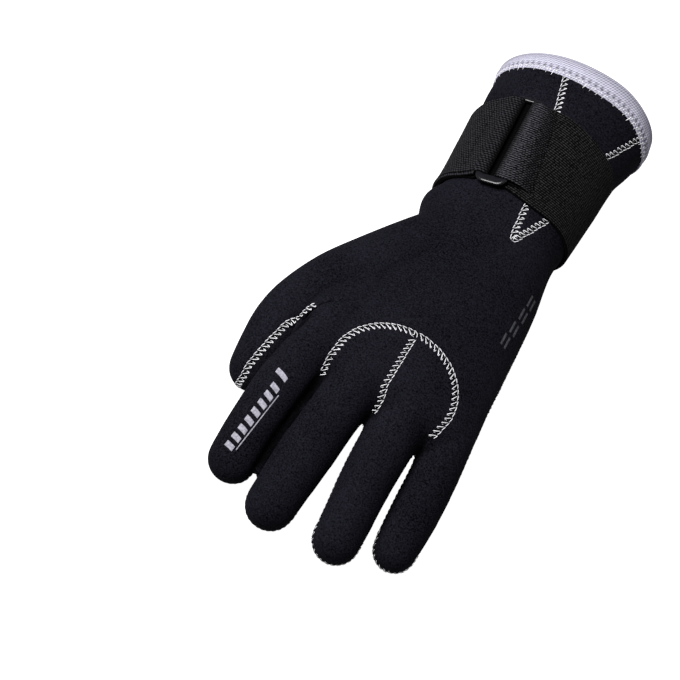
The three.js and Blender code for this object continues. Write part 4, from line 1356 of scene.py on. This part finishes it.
# %% [markdown]
# Slide ring
#
# The ring is moulded black plastic. Its two long bars run along the cuff and carry the webbing. It is a
# rounded rectangle with a rounded section, and it stays flat over the curve of the wrist.

# %% The ring's place and the ring
RING_Y, RING_X = np.array([21.5, 76.4]), np.array([-13.8, -16.5])
RING_WIDTH, RING_LENGTH, BAR, RING_THICKNESS, RING_LIFT = 16.4, RING_Y[1] - RING_Y[0], 2.6, 1.8, 3.5
OUTER_CORNER, INNER_CORNER, BROAD_END = 5.2, 2.2, 2.0
WEBBING_LOW, WEBBING_HIGH = 25.9, 73.9  # the selvedges' y, of the webbing and of the tail


def wrist_angle(y, x):
    """The angle round the section at which its upper half stands at x."""
    centre, _, wide, *_ = hand_columns(y)
    return np.arccos((x - centre) / wide)


def ring_frame():
    """The ring's middle, and its directions across the strap's run, along the cuff and off the wrist."""
    near, far = (hand_point(y, wrist_angle(y, x), RING_LIFT) for y, x in zip(RING_Y, RING_X))
    middle_y = (WEBBING_LOW + WEBBING_HIGH) / 2
    angle = wrist_angle(middle_y, np.interp(middle_y, RING_Y, RING_X))
    left, right = (hand_point(middle_y, angle + np.radians(turn), RING_LIFT) for turn in (4, -4))
    along = unit(far - near)
    out = unit(np.cross(right - left, along))
    return (near + far) / 2, np.stack([np.cross(along, out), along, out])


ring_middle, ring_axes = ring_frame()


def rounded_rectangle(width, length, corner, steps=12):
    """Points round a rectangle whose corners are quarter circles of steps + 1 points each."""
    side = np.repeat([(1, 1), (-1, 1), (-1, -1), (1, -1)], steps + 1, axis=0)
    angle = (np.linspace(0, np.pi / 2, steps + 1) + np.arange(4)[:, None] * np.pi / 2).ravel()
    centre = side * [width / 2 - corner, length / 2 - corner]
    return centre + corner * np.stack([np.cos(angle), np.sin(angle)], -1)


def ring_surface(sides=20):
    """The section, a superellipse of power 3, carried between an outer and an inner outline. The end nearer
    the fingers is 2 mm broader."""
    outer = rounded_rectangle(RING_WIDTH, RING_LENGTH, OUTER_CORNER)
    inner = rounded_rectangle(RING_WIDTH - 2 * BAR, RING_LENGTH - 2 * BAR, INNER_CORNER)
    inner[:, 1] += BROAD_END * smoothstep(0, -RING_LENGTH / 2 + 8, inner[:, 1])
    turn = np.linspace(0, 2 * np.pi, sides, endpoint=False)
    wide, high = signed_power(np.cos(turn), 0.7), RING_THICKNESS / 2 * signed_power(np.sin(turn), 0.7)
    flat = ((outer + inner) / 2)[:, None] + ((outer - inner) / 2)[:, None] * wide[None, :, None]
    local = np.concatenate([flat, np.broadcast_to(high[None, :, None], (*flat.shape[:2], 1))], -1)
    return ring_middle + local @ ring_axes


ring_points = ring_surface()
gloss = mottled_material("black_plastic", (0.003, 0.003, 0.004), (0.008, 0.008, 0.01), 300, 0, 1,
                         {"Roughness": 0.2, "Specular IOR Level": 0.25})
ring_faces = grid_faces(*ring_points.shape[:2], wrap_rows=True, wrap_columns=True)
ring_piece = new_piece("slide_ring", ring_points.reshape(-1, 3), ring_faces, gloss, "black_ring")
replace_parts(ring_piece, "buckle_ring")

# %% [markdown]
# Webbing and tail
#
# The webbing on the thumb's side is doubled: it comes up, goes round the ring's bar and back under itself.
# The tail on the other side is a smoother twill tape that does the same round the other bar. Both are one
# ribbon shape: a path in the plane of the wrist's section, thickened, and repeated along the cuff.

# %% Ribbons round the bars
WRIST_RADIUS = 32
OVER_BAND, THIN_END_HEIGHT = 2.15, 2.05  # off the neoprene: the lower leaf, and the upper one's thin end


def bar_place(side, y):
    """The angle and the height off the neoprene of a long bar's middle, found in a few rounds."""
    across = np.full(len(y), side * (RING_WIDTH - BAR) / 2)
    local = np.stack([across, y - RING_Y.mean(), np.zeros(len(y))], -1)
    bar = ring_middle + local @ ring_axes
    x, z, wide, deep, _, _ = hand_columns(y)
    height = np.full(len(y), RING_LIFT)
    for _ in range(12):
        across, up = (bar[:, 0] - x) / (wide + height), (bar[:, 2] - z) / (deep + height)
        height = height + (np.hypot(across, up) - 1) * WRIST_RADIUS
    return np.arctan2(up, across), height


def ribbon(side, end_angle, thickness, reach, swell, slant, thin_end=0.0, y_steps=72):
    """A doubled ribbon from end_angle(y) to a bar and back. In the section's plane its middle line is: the
    upper leaf, which swells up to the bar, half an ellipse round the bar that reaches into the ring, and the
    lower leaf. The selvedges thin out over their last millimetre, and so does the upper leaf's end over
    thin_end. The selvedge nearer the fingers droops where it reaches past the elastic, and slant(distance
    from the bar, t) moves both. Returns points, faces, the run and width of each point in metres, and its
    painted shade, dark where the loop reaches into the ring and below, and on the lower leaf."""
    t = np.linspace(-1, 1, y_steps)
    spread = signed_power(np.sin(t * np.pi / 2), 0.9)
    y = (WEBBING_LOW + WEBBING_HIGH) / 2 + (WEBBING_HIGH - WEBBING_LOW) / 2 * spread
    angle, height = bar_place(side, y)
    wide = hand_columns(y)[2] + 3
    low = OVER_BAND + thickness / 2
    top = low + thickness + 0.1
    leaf = np.linspace(1, 0, 46)
    turn = np.linspace(np.pi / 2, -np.pi / 2, 24)
    rise = 1.1 + thickness / 2
    edge = np.clip((1 - np.abs(t)) / 0.035, 0, 1)
    half = thickness / 2 * np.sqrt(1 - (1 - edge) ** 2 * 0.9)
    paths, slims = [], []
    for k in range(y_steps):
        far = np.abs((end_angle(y[k]) - angle[k]) * wide[k])
        upper, lower = far * leaf, far * 0.75 * leaf[::-1]
        thin = smoothstep(0, thin_end, far - upper) if thin_end else np.ones(len(upper))
        loop_h = height[k] + rise * np.sin(turn)
        upper_h = top + (loop_h[0] - top) * bell(upper, swell)
        upper_h = thin * upper_h + (1 - thin) * (THIN_END_HEIGHT + thickness * 0.1)
        lower_h = low + np.maximum(loop_h[-1] - low, 0) * bell(lower, 2.6)
        a = np.concatenate([side * upper, -side * reach * np.cos(turn)[1:-1], side * lower])
        h = np.concatenate([upper_h, np.maximum(loop_h[1:-1], low), lower_h])
        paths.append(np.stack([a, h], -1))
        slims.append(np.concatenate([0.2 + 0.8 * thin, np.ones(len(turn) - 2 + len(lower))]))
    paths, slims = np.stack(paths, 1), np.stack(slims, 1)  # path steps, places along the cuff, (a, h)
    # painted shade: the loop darkens from where it reaches into the ring, and the lower leaf is dark
    shade = np.concatenate([np.zeros(len(leaf)), smoothstep(1.35, 0.2, turn[1:-1]), np.ones(len(leaf))])
    shade = np.broadcast_to(0.9 * shade[:, None], slims.shape)
    ahead = unit(np.gradient(paths, axis=0))
    normal = np.stack([-ahead[..., 1], ahead[..., 0]], -1)

    slanted = y + slant(side * paths[..., 0], t)
    droop = 1.5 * smoothstep(WEBBING_LOW + 0.3, WEBBING_LOW - 1.7, slanted)

    def place(offset):
        flat = paths + normal * (offset * half * slims)[..., None]
        return hand_point(slanted, angle - flat[..., 0] / wide, flat[..., 1] - droop)

    points = np.stack([place(1), place(-1)])
    rows, cols = points.shape[1:3]
    index = np.arange(rows * cols).reshape(rows, cols)

    def strip(line):
        return np.stack([line[:-1], line[1:], line[1:] + rows * cols, line[:-1] + rows * cols], -1)

    faces = np.concatenate([
        grid_faces(rows, cols), grid_faces(rows, cols, start=rows * cols)[:, ::-1],
        strip(index[:, 0]), strip(index[:, -1])[:, ::-1], strip(index[0])[:, ::-1], strip(index[-1]),
    ])
    run = run_along(paths[:, cols // 2])[:, None] / 1000
    maps = (np.broadcast_to(values, (2, rows, cols)) for values in (run, y / 1000, shade))
    return points.reshape(-1, 3), faces, *maps


webbing = woven_material("coarse_webbing", (0.0, 0.0, 0.0), (0.0245, 0.0235, 0.0275), 0.0013, 0.0017, 0.6,
                         0.0003, mix=0.62, speckle=0.5, span=(0.44, 0.74))
# the tail's end gets a painted shade that lightens over its first 16 mm
twill = woven_material("twill_tape", (0.0, 0.0, 0.0), (0.056, 0.055, 0.064), 0.0013, 0.0013, 0.8, 0.0003,
                       speckle=0.55, fade=0.016, span=(0.38, 0.74))


def anchor_slant(far, t):
    """Beside the bar the selvedge by the fingers, t = -1, lies 1.8 mm nearer to them than on it, further off
    1 mm. The other one comes 3.4 mm nearer to the fingers on its way to the thumb's side."""
    near = (0.8 * smoothstep(10, 28, far) - 1.8) * smoothstep(0.5, 2.5, far)
    return near * (1 - t) / 2 - 3.4 * smoothstep(8, 34, far) * (1 + t) / 2


def tail_slant(far, t):
    """The selvedge by the fingers goes 3.1 mm away from them towards the tail's end."""
    return 3.1 * np.clip(far / 16, 0, 1) * (1 - t) / 2


def tail_end(y):
    """The angle of the tail's end, from x = 5 on the selvedge by the fingers to x = -3 on the other."""
    return wrist_angle(y, np.interp(y, [WEBBING_LOW, WEBBING_HIGH], [5, -3]))


anchor_points, anchor_faces, run, width, shade = ribbon(
    -1, lambda y: np.radians(200), thickness=0.85, reach=4.4, swell=6.0, slant=anchor_slant)
anchor = new_piece("anchor_webbing", anchor_points, anchor_faces, webbing, "webbing")
add_uv(anchor, run, width)
add_shade(anchor, shade)
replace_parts(anchor, "strap_anchor")
tail_points, tail_faces, run, width, shade = ribbon(
    1, tail_end, thickness=0.7, reach=5.2, swell=7.0, slant=tail_slant, thin_end=7.0)
tail = new_piece("tail_tape", tail_points, tail_faces, twill, "twill_tape")
add_uv(tail, run, width)
add_shade(tail, shade)
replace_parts(tail, "strap_tail")

# %% [markdown]
# The anchor's two leaves are sewn together along a line beside the ring, with black thread. The line is
# dropped onto the webbing from above.

# %% The anchor's stitch line
anchor_tree = BVHTree.FromPolygons(anchor_points.tolist(), anchor_faces.tolist())
sewn_y = np.arange(WEBBING_LOW + 4, WEBBING_HIGH - 5, 4.2)[:, None] + np.linspace(0, 3.0, 6)
sewn_x = np.interp(sewn_y, [WEBBING_LOW, WEBBING_HIGH], [-29.2, -31.2])
above = [Vector((x, y, 90)) for x, y in zip(sewn_x.ravel(), sewn_y.ravel())]
sewn = np.array([anchor_tree.ray_cast(start, Vector((0, 0, -1)))[:2] for start in above])
sewn_points, sewn_normals = (sewn[:, k].reshape(*sewn_y.shape, 3) for k in (0, 1))
black_thread = start_material("black_thread", {
    "Base Color": (0.001, 0.001, 0.0012, 1), "Roughness": 0.9, "Specular IOR Level": 0.1,
})[0]
new_piece("anchor_stitches", *strokes(sewn_points + 0.05 * sewn_normals, sewn_normals, 0.42), black_thread,
          "webbing")

# %% [markdown]
# Plain print
#
# A glove of this kind carries print on the index finger and on the side of the hand. Here it is plain slanted
# bars over a thin line, and pairs of dark bars. Each bar is a patch between four corners given in plan,
# dropped onto the skin. Its rim dips under the skin, so the patch needs no underside.

# %% Printed bars
PRINT_STEPS, PRINT_LIFT = (9, 9), 0.08
skin_tree = surface_tree(np.concatenate([back, middle_panel, ring_panel, wedge]))[0]


def printed(corners, toward):
    """One bar's points and faces: a bilinear grid between four corners, cast onto the skin along toward."""
    u, v = np.meshgrid(*(np.linspace(0, 1, steps) for steps in PRINT_STEPS), indexing="ij")
    weights = np.stack([(1 - u) * (1 - v), u * (1 - v), u * v, (1 - u) * v], -1)
    flat, toward = weights @ np.asarray(corners, float), unit(np.array(toward, float))
    rim = (np.minimum(u, 1 - u) < 1e-6) | (np.minimum(v, 1 - v) < 1e-6)
    points = np.zeros(flat.shape)
    for index in np.ndindex(*PRINT_STEPS):
        place, normal, _, _ = skin_tree.ray_cast(Vector(flat[index] - 60 * toward), Vector(toward))
        normal = np.array(normal) * -np.sign(np.dot(normal, toward))
        points[index] = np.array(place) + normal * (-0.1 if rim[index] else PRINT_LIFT)
    return points.reshape(-1, 3), grid_faces(*PRINT_STEPS)


def print_material(name, dark, light):
    """Worn print: a matt colour with fine darker spots."""
    return mottled_material(name, dark, light, 900, 0.35, 0.6, {"Roughness": 0.6, "Specular IOR Level": 0.1})


LINE_START = np.array([-49.3, -158.6, 40])
LINE_AHEAD, LINE_UP = np.array([0.122, 0.9925, 0]), np.array([-0.9925, 0.122, 0])


def index_bar(start, length, low, high, slant):
    """A bar over the line on the index finger: start and length along the line, low and high off it."""
    corners = [(start, low), (start + length, low), (start + length + slant, high), (start + slant, high)]
    return printed([LINE_START + a * LINE_AHEAD + b * LINE_UP for a, b in corners], (0, 0, -1))


index_bars = [index_bar(0, 32.5, -0.3, 0.25, 0)]
index_bars += [index_bar(0.3 + 4.1 * k, 2.7, 0.8, 6.2, 1.3) for k in range(8)]
index_bars += [index_bar(34.6, 2.7, 0.8, 8.6, 2.0)]
new_piece("index_print", *joined(index_bars),
          print_material("pale_print", (0.16, 0.155, 0.185), (0.27, 0.265, 0.305)),
          "neoprene", closed=False)
SIDE_BAR = ((0, -4.2), (1.5, -4.2), (1.5, 4.2), (0, 4.2))
SIDE_PAIRS = ((-43.7, 25.4), (-34.3, 26.8), (-24.2, 27.9), (-14.7, 28.6))  # y and x where each pair starts
side_bars = [printed([(x + a, y + b, 40) for a, b in SIDE_BAR], (-0.3, 0, -0.95))
             for y, left in SIDE_PAIRS for x in (left, left + 3.0)]
new_piece("side_print", *joined(side_bars),
          print_material("dark_print", (0.022, 0.022, 0.026), (0.05, 0.05, 0.056)),
          "neoprene", closed=False)

# %% [markdown]
# Floor and light
#
# A plain pale floor and large soft lights, as in a product photograph.

# %% Floor, light and world
floor_material, floor_tree, floor_shader, _ = start_material("pale_floor", {
    "Base Color": (0.3, 0.3, 0.3, 1), "Roughness": 1.0, "Specular IOR Level": 0.0,
    "Emission Color": (1, 1, 1, 1),
})
seen = floor_tree.nodes.new("ShaderNodeLightPath").outputs["Is Camera Ray"]
floor_tree.links.new(seen, floor_shader.inputs["Emission Strength"])
floor_mesh = bpy.data.meshes.new("floor")
floor_mesh.from_pydata([(-3, -3, 0), (3, -3, 0), (3, 3, 0), (-3, 3, 0)], [], [(0, 1, 2, 3)])
floor = bpy.data.objects.new("floor", floor_mesh)
floor.data.materials.append(floor_material)
scene.collection.objects.link(floor)


def soft_light(name, place, power, size):
    """A square area light at a place in metres that faces the glove's middle."""
    data = bpy.data.lights.new(name, "AREA")
    data.energy, data.size = power, size
    light = bpy.data.objects.new(name, data)
    light.location = place
    light.rotation_euler = (Vector((0, 0, 0.03)) - Vector(place)).to_track_quat("-Z", "Y").to_euler()
    scene.collection.objects.link(light)


soft_light("key", (-0.75, -0.2, 1.25), 46, 0.7)
soft_light("fill", (1.1, 0.5, 0.6), 3, 0.8)
world = bpy.data.worlds.new("pale_room")
world.use_nodes = True
set_inputs(world.node_tree.nodes["Background"], {"Color": (1, 1, 1, 1), "Strength": 0.16})
scene.world = world
scene.view_settings.view_transform = "Standard"
